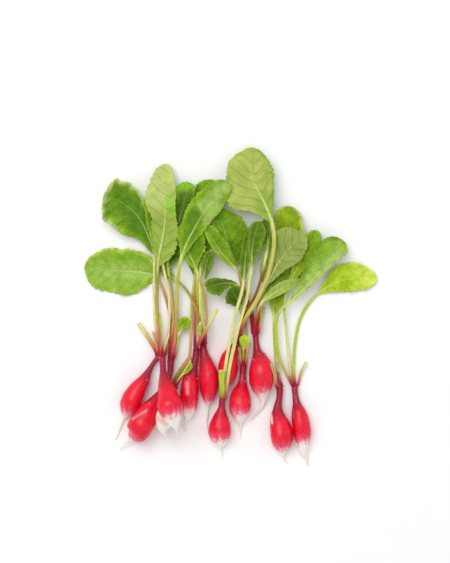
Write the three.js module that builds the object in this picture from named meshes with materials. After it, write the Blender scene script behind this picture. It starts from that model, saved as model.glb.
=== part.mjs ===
// A bunch of twelve fresh radishes with their leaves on, lying loose on a flat surface.
// Millimetres, +Z up, +X to the right and +Y towards the leaf tips. Z = 0 is the surface.
// Each root, leaf and cut stalk is a closed skin over rings set along a curved midline.
// The pieces are laid down one after another, from the lowest to the topmost, and each one
// is raised just clear of what already lies beneath it.

import * as THREE from 'three';

// Scale and origin of the layout, whose u and v count pixels of a top view of the bunch
const MM_PER_PIXEL = 0.75;
const ORIGIN_U = 231.1;
const ORIGIN_V = 305.8;

// Roots
const ROOT_SIDES = 12;
const THICK_ROOT = 8;

// Leaves and cut stalks
const LEAF_THICKNESS = 0.75;
const STALK_FLATNESS = 0.86;
const STALK_RING_STEP = 14;
const BASE_RING = 3.5;
const RIB_AT_TIP = 0.35;
const FULL_BLADE = 3.0;
const CUP_POWER = 1.5;
const FRILL_LENGTH = 17;

// Corners round a blade: share of the way to its edge, and upper or lower face
const BLADE_OUTLINE = [
  [-1, 1], [-0.5, 1], [0, 1], [0.5, 1], [1, 1], [1, -1], [0.5, -1], [0, -1], [-0.5, -1], [-1, -1],
];

// Laying one piece on another
const CELL = 0.5;
const ROW = 10000;
const CLEARANCE = 0.4;
const LEAF_REACH = 24;
const ROOT_REACH = 60;
const FREE_BASE = 0.5;
const CROWN_GAP = 1.2;

// Finishes: colour and roughness
const FINISHES = {
  root: { color: 0xd81f3f, roughness: 0.34 },
  green: { color: 0x6f9a2c, roughness: 0.5 },
  dark: { color: 0x3c6414, roughness: 0.52 },
  pale: { color: 0xa9bd6c, roughness: 0.6 },
  yellow: { color: 0xb4cf26, roughness: 0.5 },
  stalk: { color: 0xd3cf86, roughness: 0.45 },
};

// One point of a root's midline: its place, its width in mm and its height over the surface
const rooted = (u, v, wide, z = null) => ({ u, v, wide, z });

// One point of a leaf's midline: its place, its height in mm, and how far the blade
// reaches to the left and to the right of the midrib, in mm
const stem = (u, v, z) => ({ u, v, z, left: 0, right: 0 });
const blade = (u, v, z, left, right) => ({ u, v, z, left, right });

// The roots from crown to tail, the lowest first
const ROOTS = {
  radish_01: [
    rooted(158.5, 356.5, 4.2, 3.6), rooted(153.5, 363, 3.4, 4), rooted(149.2, 370.5, 4.6, 4.6),
    rooted(144, 380, 9.4, 6), rooted(137.5, 389.5, 13.4, 7), rooted(132, 400, 15.4),
    rooted(128.6, 408, 13.4), rooted(126.3, 413, 8.6, 5), rooted(124.5, 417, 3, 3.4),
    rooted(120.5, 427, 1.6, 1.8), rooted(115.5, 440, 0.9, 0.6),
  ],
  radish_02: [
    rooted(171, 360.5, 5.2, 3.2), rooted(170.6, 370, 4.6, 2.6), rooted(168, 381, 4.4, 2.4),
    rooted(163, 391, 6.4, 3.4), rooted(156, 402, 12, 6), rooted(148.6, 412.5, 17, 8),
    rooted(141.8, 424, 19.2), rooted(136.6, 433, 15.8), rooted(132.4, 436.6, 8, 5),
    rooted(129, 439.4, 3, 3), rooted(125, 443.6, 1.6, 1.6), rooted(120, 450, 0.9, 0.6),
  ],
  radish_04: [
    rooted(175.6, 385, 4.6, 2.6), rooted(173.5, 391, 4.8, 2.8), rooted(170.6, 399, 8.4, 4),
    rooted(167, 409, 12), rooted(164.6, 419, 12.4), rooted(164, 426, 9),
    rooted(164.8, 430.5, 4.4, 3), rooted(167.6, 435, 1.8, 1.4), rooted(171, 441, 0.9, 0.6),
  ],
  radish_05: [
    rooted(196.6, 348.5, 4.6, 3.4), rooted(195.6, 357, 4.6, 3.6), rooted(193.4, 367, 6.4, 4.4),
    rooted(190.8, 377, 11.4, 6), rooted(189.6, 388, 13.8), rooted(189.2, 400, 13.8),
    rooted(189, 408.6, 11.4), rooted(188.2, 415, 7.4, 4.6), rooted(186.6, 419, 3, 3),
    rooted(184.8, 425, 1.6, 1.6), rooted(186, 432, 0.9, 0.6),
  ],
  radish_06: [
    rooted(203.2, 345.5, 4.6, 3.4), rooted(204.2, 353.6, 6.6, 4), rooted(206.4, 363, 11, 5.6),
    rooted(208.6, 373.6, 14.4, 7), rooted(209.2, 384.6, 14.6), rooted(208.8, 394, 12),
    rooted(208.2, 400, 7.6, 4.6), rooted(208, 404.6, 2.8, 3.4), rooted(207.6, 414, 1.6, 1.8),
    rooted(206.8, 428, 0.9, 0.6),
  ],
  radish_07: [
    rooted(236.4, 343.5, 4.6, 4), rooted(233.2, 349, 8, 5), rooted(229.8, 356.4, 12.4, 6.4),
    rooted(228, 366, 14.8), rooted(227.2, 375.4, 13.2), rooted(226.6, 383, 8.8, 5),
    rooted(226, 388.4, 3, 3), rooted(225.8, 395.6, 1.4, 1.2), rooted(226.4, 401, 0.9, 0.6),
  ],
  radish_09: [
    rooted(243.4, 366.5, 5.2, 3.4), rooted(242.6, 375, 4.8, 3.8), rooted(242, 383.5, 7.4, 4.8),
    rooted(240.8, 391, 13, 6.6), rooted(240.2, 400, 16.4), rooted(239.9, 408, 16.2),
    rooted(239.9, 414.5, 12.4), rooted(240, 419.5, 7, 4.4), rooted(240.2, 424, 2.8, 2.6),
    rooted(240.4, 430, 1.4, 1.2), rooted(240.6, 438, 0.9, 0.6),
  ],
  radish_10: [
    rooted(255.2, 334.5, 4.6, 3.6), rooted(256, 343, 4.4, 4), rooted(257, 350.4, 6.4, 4.8),
    rooted(259, 357.4, 12, 6.6), rooted(260.4, 365.4, 16.8), rooted(260.9, 374, 18.4),
    rooted(261.3, 382.6, 17.6), rooted(262, 389.4, 14), rooted(262.8, 395, 9, 5),
    rooted(263.2, 400.4, 4.2, 3.6), rooted(261.4, 407, 2.4, 1.8), rooted(256.6, 414, 1.5, 1),
    rooted(250, 421, 0.9, 0.6),
  ],
  radish_12: [
    rooted(294.4, 387, 4.6, 3.2), rooted(295.2, 396, 4.8, 3.6), rooted(296.6, 403.6, 6.6, 4.4),
    rooted(298, 410, 10.4, 5.8), rooted(299.6, 417.4, 12.8), rooted(301, 426, 13.6),
    rooted(301.9, 435, 12.6), rooted(302.4, 442, 10.4), rooted(303, 448, 7.6, 4),
    rooted(304.4, 454, 4.8, 2.6), rooted(306.2, 460, 2.6, 1.5), rooted(308.4, 466, 0.9, 0.6),
  ],
  radish_11: [
    rooted(279.6, 388.5, 5, 3.6), rooted(279.2, 398, 4.6, 4), rooted(277.6, 407, 6.6, 4.6),
    rooted(277.8, 416, 11.4, 6), rooted(280, 426, 15.8), rooted(281.4, 436, 16.8),
    rooted(281.8, 444.5, 13.6), rooted(282, 450, 8, 4.8), rooted(282.6, 454, 3.4, 3),
    rooted(284.6, 459, 1.6, 1.4), rooted(287.6, 464, 0.9, 0.6),
  ],
  radish_08: [
    rooted(222.4, 399.5, 4.8, 9), rooted(221.8, 406, 5, 8.6), rooted(220.8, 413.5, 9.4, 8.4),
    rooted(220.2, 421, 14.6, 8.2), rooted(220, 430, 17), rooted(220.4, 438, 14.4),
    rooted(220.8, 443, 8.6, 5), rooted(221, 446.5, 3, 3), rooted(221.6, 451, 1.4, 1.4),
    rooted(222.4, 457, 0.9, 0.6),
  ],
  radish_03: [
    rooted(163, 355.5, 5.4, 3.6), rooted(163.6, 363, 4.6, 4.2), rooted(164.4, 371, 5.4, 5),
    rooted(166, 380, 9.4, 6.4), rooted(168.8, 391, 15, 8), rooted(171, 402, 18.6),
    rooted(173.4, 411, 15.8), rooted(175.4, 418.5, 10.2, 6), rooted(177.2, 424, 4.6, 4.6),
    rooted(178.4, 429.5, 1.8, 2.8), rooted(179.6, 436, 0.9, 0.8),
  ],
};

// The leaves and cut stalks, the lowest first. Each grows from a root's crown. wide is the
// stalk's width in mm, cup how far the blade's edges rise beside its half width, frill how
// far they wave in mm and teeth how many teeth each edge has. turned shows its underside,
// and under names a root that lies on top of it.
const LEAVES = {
  leaf_02_a: {
    on: 'radish_02', finish: 'green', wide: 2.1, cup: 0.05, frill: 0.9, teeth: 10,
    line: [
      stem(169.3, 356.5, -1.2), stem(170, 343, 2), stem(171.4, 330, 1.4), stem(170.4, 318, 1.2),
      stem(168, 306, 1.2), stem(165.2, 296, 1.4), stem(161.5, 285, 1.6),
      blade(157, 277.5, 1.6, 4, 3), blade(147, 273.5, 1.2, 11.3, 12.4),
      blade(130, 271.5, 0.4, 18, 16.3), blade(115, 270.3, 0, 16.6, 16.4),
      blade(100, 269, 0, 15, 14.3), blade(91.5, 268.3, 0.6, 11.4, 9.8),
      blade(86, 268, 1.4, 6, 5.6), blade(84, 268, 1.6, 2, 2),
    ],
  },
  stalk_04_a: {
    on: 'radish_04', under: 'radish_03', finish: 'stalk', wide: 3.2, spread: 3.4,
    line: [stem(174.4, 379, -1.2), stem(179.8, 371.6, 4), stem(185.4, 363.6, 5.4), stem(190.6, 356.6, 6.4)],
  },
  leaf_04_a: {
    on: 'radish_04', under: 'radish_03', finish: 'dark', wide: 2.1, cup: 0.2, frill: 0.8, teeth: 4,
    line: [
      stem(178.2, 381, -1.2), stem(184, 371.5, 2.4), stem(188.8, 361, 2.8), stem(190.4, 350, 2.8),
      stem(191.2, 335, 2.6), stem(191.5, 318, 2.6), stem(192.3, 300, 2.6), stem(194.2, 282, 3),
      blade(194, 268, 3.6, 3, 2.4), blade(191, 252, 4, 6, 6), blade(187, 238, 4, 6, 7),
      blade(185, 226, 3.4, 2, 2),
    ],
  },
  leaf_05_a: {
    on: 'radish_05', finish: 'green', wide: 2, cup: 0.25, frill: 1, teeth: 6,
    line: [
      stem(195, 344.4, -1.2), stem(195, 330, 2.6), stem(195, 312, 2.6), stem(195.4, 295, 2.8),
      stem(196.2, 280, 3.2), stem(196, 266, 3.6), blade(197, 250, 4.4, 4, 4),
      blade(200, 225, 5.6, 9, 8), blade(205, 205, 6, 10, 8), blade(211, 190, 5.4, 10.6, 6),
      blade(215.4, 180, 4.4, 3, 2.4),
    ],
  },
  leaf_06_a: {
    on: 'radish_06', finish: 'dark', wide: 2, cup: 0.2, frill: 0.8, teeth: 3,
    line: [
      stem(200.2, 341.8, -1.2), stem(199.4, 330, 2.6), stem(198, 312, 3), stem(197.8, 296, 3.2),
      stem(197.4, 280, 3.4), blade(197.6, 268, 3.8, 2, 2), blade(199, 254, 4.4, 4.6, 4.6),
      blade(200.4, 244, 4.4, 2, 2),
    ],
  },
  leaf_06_b: {
    on: 'radish_06', finish: 'dark', wide: 2, cup: 0.2, frill: 0.8, teeth: 4,
    line: [
      stem(203.1, 341.4, -1.2), stem(201.4, 328, 2.6), stem(200.4, 312, 3), stem(200.2, 296, 3.2),
      stem(200.2, 280, 3.4), blade(200.8, 266, 3.8, 2, 2), blade(203.5, 251, 4.4, 5.4, 5.4),
      blade(208, 237, 5, 6, 5), blade(211.4, 225, 4.6, 2, 2),
    ],
  },
  leaf_06_c: {
    on: 'radish_06', finish: 'green', wide: 2.1, cup: 0.15, frill: 0.6, teeth: 4,
    line: [
      stem(206, 341.8, -1.2), stem(200.2, 322, 3), stem(196.2, 309, 3.2), stem(191.4, 297.5, 3.2),
      stem(185.5, 288.5, 3), stem(179, 282, 3), blade(172.5, 277.6, 3, 2.4, 2.4),
      blade(166, 271, 3.2, 4, 4), blade(160, 262, 3.4, 4.6, 4.6), blade(156, 254, 3, 2, 2),
    ],
  },
  leaf_02_b: {
    on: 'radish_02', finish: 'dark', wide: 2, cup: 0.2, frill: 0.9, teeth: 8,
    line: [
      stem(172.4, 356.5, -1.2), stem(171.6, 345, 2.4), stem(172.8, 330, 3), stem(173.8, 315, 3.2),
      stem(173.2, 300, 3.2), stem(171.4, 285, 3.2), stem(168.8, 271, 3.4),
      blade(168.6, 259, 3.8, 3, 8), blade(171.5, 245, 4.4, 5, 10), blade(177, 228, 5, 7, 8.6),
      blade(182.5, 210, 5, 6.6, 8), blade(185.8, 195, 4.6, 6.6, 7.2), blade(187, 186, 4, 6.4, 6),
      blade(187.4, 181.6, 3.6, 2.4, 2.4),
    ],
  },
  leaf_03_a: {
    on: 'radish_03', finish: 'green', wide: 2, cup: 0.16, frill: 1.2, teeth: 9,
    line: [
      stem(159.7, 351.4, -1.2), stem(158.8, 343, 1.6), stem(156.6, 332, 2), stem(154.9, 318, 2.4),
      stem(154.3, 300, 2.4), stem(154.2, 285, 2.6), stem(154.6, 270, 3), stem(154.8, 260, 3.2),
      blade(153.4, 250, 3.6, 3, 3), blade(149, 238, 4.4, 7, 6), blade(143, 224, 5.4, 16.6, 8),
      blade(134, 212, 6.4, 18.4, 11.6), blade(123, 203.4, 7.6, 18.6, 15),
      blade(113.6, 198.4, 9.4, 18.4, 14.6), blade(108.6, 196.4, 11.4, 16.6, 13),
      blade(106, 195.4, 13, 11, 9), blade(105, 195, 13.6, 3, 3),
    ],
  },
  leaf_03_b: {
    on: 'radish_03', finish: 'green', wide: 2, cup: 0.15, frill: 1, teeth: 5,
    line: [
      stem(166.3, 351.4, -1.2), stem(167.2, 342, 2), stem(169, 328, 2.6), stem(169.7, 312, 2.8),
      stem(169.3, 298, 2.8), stem(167.2, 284, 3), stem(164.4, 270, 3.4),
      blade(160.5, 252, 4, 4, 4), blade(156, 232, 4.6, 5, 6), blade(153.4, 214, 5, 6, 6),
      blade(151.4, 200, 4.8, 4.6, 5), blade(150.5, 190.6, 4.2, 2, 2),
    ],
  },
  leaf_03_c: {
    on: 'radish_03', finish: 'pale', wide: 2.2, cup: 0.14, frill: 1.1, teeth: 11, turned: true,
    line: [
      stem(163, 351, -1.2), stem(161, 343, 2.4), stem(159.2, 332, 3), stem(157.8, 318, 3.2),
      stem(157.3, 300, 3.4), stem(157.5, 285, 3.6), stem(158, 270, 4), blade(160, 254, 4.6, 4.4, 10),
      blade(163, 239, 5.6, 7.6, 11.6), blade(165, 228, 6.4, 9.8, 10.2), blade(165.9, 217, 7, 10.4, 8.2),
      blade(166, 210, 7.4, 13.6, 7.6), blade(166, 201, 7.6, 15, 7.6), blade(165.8, 192, 7.6, 14.2, 8),
      blade(165.5, 183, 7.4, 11.2, 7.4), blade(165.3, 174.6, 6.6, 8.6, 6.4),
      blade(165.2, 167.6, 5.8, 5.4, 4.8), blade(165, 163.6, 5, 2.2, 2.2),
    ],
  },
  leaf_05_b: {
    on: 'radish_05', finish: 'dark', wide: 1.9, cup: 0.35, frill: 0.4, teeth: 4,
    line: [
      stem(198, 344.6, -1.2), stem(201.4, 331, 3), stem(202.6, 315, 3.4), stem(202, 300, 3.6),
      stem(202.6, 288, 3.8), blade(204.4, 276, 4.2, 1.6, 2.4), blade(206.4, 264, 5, 3, 5),
      blade(209.4, 254.6, 5.4, 3.4, 4), blade(212, 249.6, 5, 1.4, 1.4),
    ],
  },
  leaf_06_d: {
    on: 'radish_06', finish: 'dark', wide: 1.9, cup: 0.18, frill: 1, teeth: 6,
    line: [
      stem(205.6, 343.6, -1.2), stem(206.2, 330, 3), stem(206.8, 315, 3.6), stem(205.9, 302, 3.8),
      stem(203.5, 290, 4), stem(199.8, 279, 4.2), blade(195.5, 267, 4.6, 2.4, 2.4),
      blade(190.6, 256, 5.2, 5, 12), blade(187.4, 245, 5.6, 6, 13.4),
      blade(186.4, 232, 5.4, 6, 13), blade(187, 220, 4.8, 3, 5),
    ],
  },
  leaf_10_a: {
    on: 'radish_10', finish: 'green', wide: 2.1, cup: 0.12, frill: 1, teeth: 8,
    line: [
      stem(252.1, 330.6, -1.2), stem(250.6, 316, 3), stem(246.8, 304, 3.2), stem(243.2, 293, 3.2),
      stem(240.8, 282, 3.4), stem(238.6, 272, 3.8), blade(234.5, 260, 4.6, 4, 5.2),
      blade(229, 246, 5.6, 6.4, 14.4), blade(224, 230, 6.4, 8, 16), blade(221, 217, 6.4, 6, 13),
      blade(221.4, 208.4, 5.6, 2, 6),
    ],
  },
  leaf_10_b: {
    on: 'radish_10', finish: 'green', wide: 1.9, cup: 0.14, frill: 0.7, teeth: 5,
    line: [
      stem(255.1, 330.4, -1.2), stem(252.6, 315, 3.4), stem(248.8, 303.4, 3.8), stem(245, 292, 4),
      stem(241.4, 280, 4.2), stem(237.4, 271, 4.6), blade(231, 263.6, 5, 2.4, 3),
      blade(222, 253.6, 5.6, 3.6, 7.4), blade(214, 242, 6, 3.8, 7.4),
      blade(208.4, 232, 5.6, 3, 6), blade(205.4, 225.6, 5, 1.6, 3),
    ],
  },
  leaf_09_a: {
    on: 'radish_09', finish: 'dark', wide: 1.7, cup: 0.5, frill: 0.8, teeth: 5,
    line: [
      stem(245, 362.4, -1.2), stem(245.4, 345, 3), stem(245.8, 330, 3.2), stem(245.8, 315, 3.4),
      stem(244.4, 300, 3.6), stem(241, 290, 3.8), blade(235, 284.6, 4, 2, 2),
      blade(226, 283, 4.4, 4.4, 3), blade(216, 284.6, 4.6, 8.2, 5), blade(208.6, 286.6, 4.4, 5, 4.6),
      blade(204.4, 287.6, 4, 2, 2),
    ],
  },
  leaf_09_b: {
    on: 'radish_09', finish: 'dark', wide: 1.8, cup: 0.1, frill: 2.2, teeth: 7,
    line: [
      stem(242, 362.4, -1.2), stem(241.8, 345, 2.4), stem(241.6, 330, 2.6), stem(241.2, 316, 2.8),
      blade(239.6, 306, 3.4, 3, 1.6), blade(236.6, 298, 4.2, 8.4, 5), blade(232.6, 291, 4.6, 6.4, 6.6),
      blade(229.6, 286.6, 4.2, 2, 2.4),
    ],
  },
  leaf_11_a: {
    on: 'radish_11', finish: 'green', wide: 2.2, cup: 0.2, frill: 0.6, teeth: 4,
    line: [
      stem(279.2, 384.4, -1.2), stem(278.2, 375, 2.2), stem(276.3, 362, 2.6), stem(274.8, 345, 2.6),
      stem(273.8, 325, 2.6), blade(273.5, 313, 2.8, 1.6, 2), blade(273.5, 303, 3, 3.4, 7),
      blade(274, 292, 3, 4.6, 8.4), blade(275.4, 283.6, 2.8, 2, 2.4),
    ],
  },
  leaf_10_c: {
    on: 'radish_10', finish: 'dark', wide: 1.9, cup: 0.16, frill: 1, teeth: 6,
    line: [
      stem(258, 331.2, -1.2), stem(258.4, 318, 2.6), stem(259.8, 306, 2.8),
      blade(264, 295, 3, 3, 3), blade(270.5, 286.6, 3.2, 6, 5.6), blade(279, 280, 3.4, 6.4, 6),
      blade(289, 276, 3.4, 5.4, 5.4), blade(298, 273.4, 3, 4.4, 4.4), blade(304, 271, 2.6, 2, 2),
    ],
  },
  leaf_10_d: {
    on: 'radish_10', finish: 'green', wide: 2, cup: 0.14, frill: 0.9, teeth: 7,
    line: [
      stem(256.2, 328.8, -1.2), stem(256.8, 315, 3.4), stem(259, 300, 3.6), stem(264, 285, 3.8),
      blade(270.4, 268, 4.4, 3, 5), blade(277, 250, 5.4, 5, 10), blade(283, 233, 6.4, 7, 14.4),
      blade(286.8, 218, 6.4, 9.6, 11.4), blade(288, 206, 5.4, 5, 5.4),
    ],
  },
  leaf_12_a: {
    on: 'radish_12', finish: 'green', wide: 1.9, cup: 0.2, frill: 0.6, teeth: 6,
    line: [
      stem(291.5, 383, -1.2), stem(289, 361, 3), stem(286.4, 335, 3), stem(284.4, 312, 3),
      stem(284.8, 297, 3.2), blade(288.4, 285, 3.6, 1.8, 2), blade(294.4, 273, 4.2, 3, 4.2),
      blade(302, 258, 4.8, 7.4, 7.4), blade(310.4, 243, 4.8, 8, 7.6), blade(318.4, 230.6, 4, 3, 2.6),
    ],
  },
  leaf_12_b: {
    on: 'radish_12', finish: 'yellow', wide: 2.1, cup: 0.12, frill: 1, teeth: 8,
    line: [
      stem(294.6, 382.8, -1.2), stem(293.6, 372, 2), stem(293.8, 355, 2), stem(295.2, 340, 1.8),
      stem(298.6, 323, 1.6), stem(304.5, 309.6, 1.5), stem(312, 299.5, 1.5),
      blade(319, 292.6, 1.8, 1.8, 1.8), blade(327, 287, 1.8, 4.6, 4.4),
      blade(337, 282, 1.2, 10, 8), blade(348, 278.6, 0.4, 11.8, 9.8), blade(360, 277, 0, 9.9, 10.2),
      blade(370, 278.4, 0.6, 5.8, 8.8), blade(376.4, 281.4, 1.8, 3.4, 4.8),
    ],
  },
  leaf_10_e: {
    on: 'radish_10', finish: 'pale', wide: 2, cup: 0.12, frill: 0.9, teeth: 7, turned: true,
    line: [
      stem(255.4, 330, -1.2), stem(257.6, 315, 4.4), stem(260.2, 300, 4.8), stem(263.8, 290, 5),
      blade(268.4, 281, 5.2, 7, 2.4), blade(276, 266, 6.2, 12.6, 7), blade(285, 253, 7, 16, 11.6),
      blade(294, 243, 7, 14.6, 10.8), blade(300.6, 236.6, 6.2, 8.6, 6.8), blade(303.6, 233.4, 5.6, 3, 3),
    ],
  },
  leaf_10_f: {
    on: 'radish_10', finish: 'pale', wide: 1.8, cup: 0.3, frill: 0.5, teeth: 8, turned: true,
    line: [
      stem(253.4, 328.8, -1.2), stem(256.2, 316, 5), stem(258.6, 307, 5.4),
      blade(262.4, 301, 5.6, 1.6, 1.6), blade(268.4, 296.4, 5.8, 3, 2.6),
      blade(276, 291.6, 6, 4.6, 3.6), blade(285, 286, 6, 4.4, 4.4), blade(294, 281.8, 5.6, 2.6, 3.4),
      blade(302, 279, 5, 1.4, 1.4),
    ],
  },
  leaf_12_c: {
    on: 'radish_12', finish: 'green', wide: 2.2, cup: 0.22, frill: 0.9, teeth: 9,
    line: [
      stem(292, 384.4, -1.2), stem(287.4, 376, 6), stem(282.5, 366, 7), stem(278.6, 355, 6.6),
      stem(276.4, 340, 5.6), stem(275.9, 325, 5), stem(277.6, 315, 5), stem(282, 308.5, 5),
      blade(290, 301, 5.2, 1.6, 1.6), blade(300, 291.6, 5.8, 4.6, 2.2), blade(312, 279.6, 6.6, 10, 3),
      blade(322, 267.4, 7.4, 12.8, 4.2), blade(331, 256.6, 8, 13.6, 5.4), blade(338, 249.4, 8, 11.8, 6.2),
      blade(342.6, 245.6, 7.6, 7.8, 5.4), blade(345.8, 243.2, 7, 2.4, 2.4),
    ],
  },
  leaf_07_a: {
    on: 'radish_07', finish: 'dark', wide: 2.1, cup: 0.18, frill: 0.9, teeth: 5,
    line: [
      stem(234.6, 339.6, -1.2), stem(237.8, 333, 3), stem(241, 325, 4), stem(245.3, 314, 5),
      stem(249.4, 306, 5.4), stem(253, 299.5, 5.6), stem(257, 290, 5.8), stem(260.5, 279, 6),
      stem(263.5, 266, 6.4), blade(266, 252, 7, 1.8, 1.6), blade(267, 240, 7.6, 5, 2.4),
      blade(266.4, 228, 7.6, 6.8, 3), blade(264, 219, 7, 3, 2.4),
    ],
  },
  leaf_07_b: {
    on: 'radish_07', finish: 'pale', wide: 3.2, cup: 0.1, frill: 1.3, teeth: 11, turned: true,
    line: [
      stem(238.9, 339.8, -1.2), stem(240, 331, 5), stem(243.4, 322, 6.6), stem(247.5, 314.6, 7.4),
      stem(252, 307.4, 8), stem(256.6, 300, 8.2), stem(262.4, 288, 8.4), stem(267.4, 276, 8.6),
      stem(271, 262, 9), stem(273, 250, 9.4), stem(273.4, 238, 9.8), stem(272.2, 228, 10),
      blade(269.4, 217, 10.2, 5, 2.2), blade(264.5, 205, 10.8, 12.6, 7.2),
      blade(259, 194, 11.6, 24, 12), blade(254, 184, 12, 22.8, 15.6), blade(251, 172, 11.8, 18.6, 15.8),
      blade(250, 160, 10.8, 14.6, 12.6), blade(250, 151.6, 9.4, 6, 7), blade(250, 147.6, 8.6, 2.4, 3),
    ],
  },
  leaf_08_a: {
    on: 'radish_08', finish: 'dark', wide: 2.4, cup: 0.4, frill: 0.4, teeth: 4,
    line: [
      stem(220.7, 395.2, -1.2), stem(223.6, 380, 12), stem(226, 362, 15), stem(229, 345, 13),
      stem(232.2, 328, 10), stem(235.7, 312, 8), stem(239.3, 300, 7), stem(242.4, 288, 6.4),
      blade(243.8, 275, 6.4, 2.4, 2.4), blade(244.6, 262, 6.6, 3.4, 3.2), blade(246.2, 247, 6.6, 3.6, 3),
      blade(249, 234, 6.2, 2.8, 2.6), blade(251.6, 224.6, 5.6, 1.4, 1.4),
    ],
  },
  leaf_08_b: {
    on: 'radish_08', finish: 'dark', wide: 2.6, cup: 0.2, frill: 1, teeth: 5,
    line: [
      stem(225, 395.2, -1.2), stem(227.2, 380, 12), stem(230.2, 362, 15), stem(234, 345, 13),
      stem(238, 328, 10.4), stem(242.8, 312, 8.4), stem(246.4, 300, 7.4), stem(249.4, 282, 6.8),
      blade(251.4, 265, 6.8, 1.8, 2), blade(251.6, 251, 7, 3, 5.6), blade(253.5, 239, 7, 4.8, 7.8),
      blade(256, 229, 6.6, 5.4, 7.4), blade(258, 220.4, 6, 2, 2.4),
    ],
  },
  leaf_02_c: {
    on: 'radish_02', finish: 'green', wide: 2.6, cup: 0.16, frill: 1, teeth: 9,
    line: [
      stem(171.2, 357.2, -1.2), stem(174.6, 343, 3.4), stem(176.2, 328, 4), stem(177, 310, 4.2),
      stem(177.2, 297, 4.4), stem(178.3, 280, 4.8), stem(180.5, 265, 5.2), blade(183.8, 252, 5.8, 2.6, 2.8),
      blade(188, 242, 6.6, 6, 4.6), blade(196, 227, 7.8, 10.6, 7.6), blade(203, 215, 8.8, 12.4, 8.6),
      blade(211, 204, 9.4, 12, 9.6), blade(219, 195, 9.4, 10.2, 7.2), blade(226, 188, 8.8, 7, 4.8),
      blade(231, 183.4, 8.2, 2.4, 2.4),
    ],
  },
  leaf_02_d: {
    on: 'radish_02', finish: 'green', wide: 1.8, cup: 0.2, frill: 0.3, teeth: 3,
    line: [
      stem(174.2, 358.6, -1.2), stem(176.4, 350, 3.4), stem(178, 340, 4), stem(179, 335, 4.2),
      blade(180.6, 330, 4.6, 2.6, 1.8), blade(183.2, 324.6, 5, 4.6, 4.4), blade(187.4, 320.4, 5, 3.4, 4),
      blade(192, 319.4, 4.6, 0.8, 0.8),
    ],
  },
  leaf_04_b: {
    on: 'radish_04', under: 'radish_03', finish: 'green', wide: 1.5, cup: 0.2, frill: 0.3, teeth: 3,
    line: [
      stem(176.6, 381.6, 1.6), stem(180.6, 376, 4), blade(184.4, 371, 4.6, 0.9, 2.4),
      blade(188, 365.4, 5, 0.9, 3.6), blade(191, 359, 4.8, 0.8, 1.8),
    ],
  },
  leaf_06_e: {
    on: 'radish_06', finish: 'green', wide: 1.5, cup: 0.2, frill: 0.2, teeth: 3,
    line: [
      stem(202, 340.6, -1.2), stem(200.8, 336, 4), blade(200, 331, 4.4, 2, 2),
      blade(200, 326, 4.6, 2, 2), blade(200.6, 320.4, 4.4, 0.8, 0.8),
    ],
  },
  leaf_09_c: {
    on: 'radish_09', finish: 'yellow', wide: 1.6, cup: 0.15, frill: 0.3, teeth: 3,
    line: [
      stem(243.5, 362, -1.2), stem(243.5, 355, 4), blade(243.6, 349.6, 4.4, 1.2, 1.2),
      blade(244.2, 342.6, 4.8, 3.4, 3.4), blade(244.8, 337, 4.8, 4.2, 3.8), blade(245, 334.4, 4.6, 3, 2.6),
    ],
  },
  leaf_03_d: {
    on: 'radish_03', finish: 'green', wide: 1.4, cup: 0.1, frill: 0.2, teeth: 3,
    line: [
      stem(164.8, 350.4, -1.2), stem(166, 345, 3.6), blade(167.4, 340, 4, 0.9, 0.9),
      blade(168.8, 335.6, 4.2, 1.2, 1.2), blade(169.8, 331.4, 4, 0.8, 0.8),
    ],
  },
  leaf_11_b: {
    on: 'radish_11', finish: 'dark', wide: 2, cup: 0.2, frill: 0.2, teeth: 3,
    line: [
      stem(282.2, 384.6, -1.2), stem(279, 377, 4), blade(277.8, 370, 4.6, 1.3, 1.3),
      blade(276.8, 362, 4.8, 1.6, 1.5), blade(276, 353.6, 4.6, 0.9, 0.8),
    ],
  },
  stalk_01_a: {
    on: 'radish_01', under: 'radish_03', finish: 'stalk', wide: 3, spread: 3.4,
    line: [stem(156, 350.6, 0), stem(150.6, 341, 3.4), stem(144.6, 331.6, 4.4), stem(139, 323, 5)],
  },
  stalk_01_b: {
    on: 'radish_01', under: 'radish_03', finish: 'stalk', wide: 1.5, spread: 1.7,
    line: [stem(159.4, 350.8, 1.6), stem(156, 342, 4), stem(153.4, 331.4, 5)],
  },
  stalk_03_a: {
    on: 'radish_03', finish: 'stalk', wide: 1.4, spread: 1.3,
    line: [stem(161.4, 349.4, -1.2), stem(161.8, 331, 5), stem(159.8, 312.4, 5.6)],
  },
  stalk_05_a: {
    on: 'radish_05', finish: 'stalk', wide: 2.7, spread: 2.9,
    line: [stem(197.2, 344.6, -1.2), stem(204.6, 332, 5.6), stem(211.4, 320, 6.4), stem(217.4, 308.6, 7)],
  },
  stalk_08_a: {
    on: 'radish_08', finish: 'stalk', wide: 3.2, spread: 5.4,
    line: [stem(222.6, 394.8, -1.2), stem(222.2, 384, 13), stem(221.8, 369.4, 17)],
  },
  stalk_09_a: {
    on: 'radish_09', finish: 'stalk', wide: 2, spread: 2.2,
    line: [stem(241, 362.6, -1.2), stem(240, 354, 4), stem(238.9, 347.4, 5)],
  },
  stalk_09_b: {
    on: 'radish_09', finish: 'stalk', wide: 1.9, spread: 2,
    line: [stem(246, 362.8, -1.2), stem(247, 352, 4), stem(247.8, 343.6, 5)],
  },
  stalk_10_a: {
    on: 'radish_10', finish: 'stalk', wide: 1.9, spread: 2.1,
    line: [stem(258.4, 331.6, -1.2), stem(261, 318.6, 2.4), stem(264.2, 306.4, 3)],
  },
  stalk_11_a: {
    on: 'radish_11', finish: 'stalk', wide: 1.9, spread: 2,
    line: [stem(276.2, 385, -1.2), stem(274, 374, 3), stem(270.2, 363, 4)],
  },
  stalk_12_a: {
    on: 'radish_12', finish: 'stalk', wide: 2, spread: 2.2,
    line: [stem(297.7, 383.4, -1.2), stem(301, 371.4, 3), stem(306, 361.4, 4)],
  },
};

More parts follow.
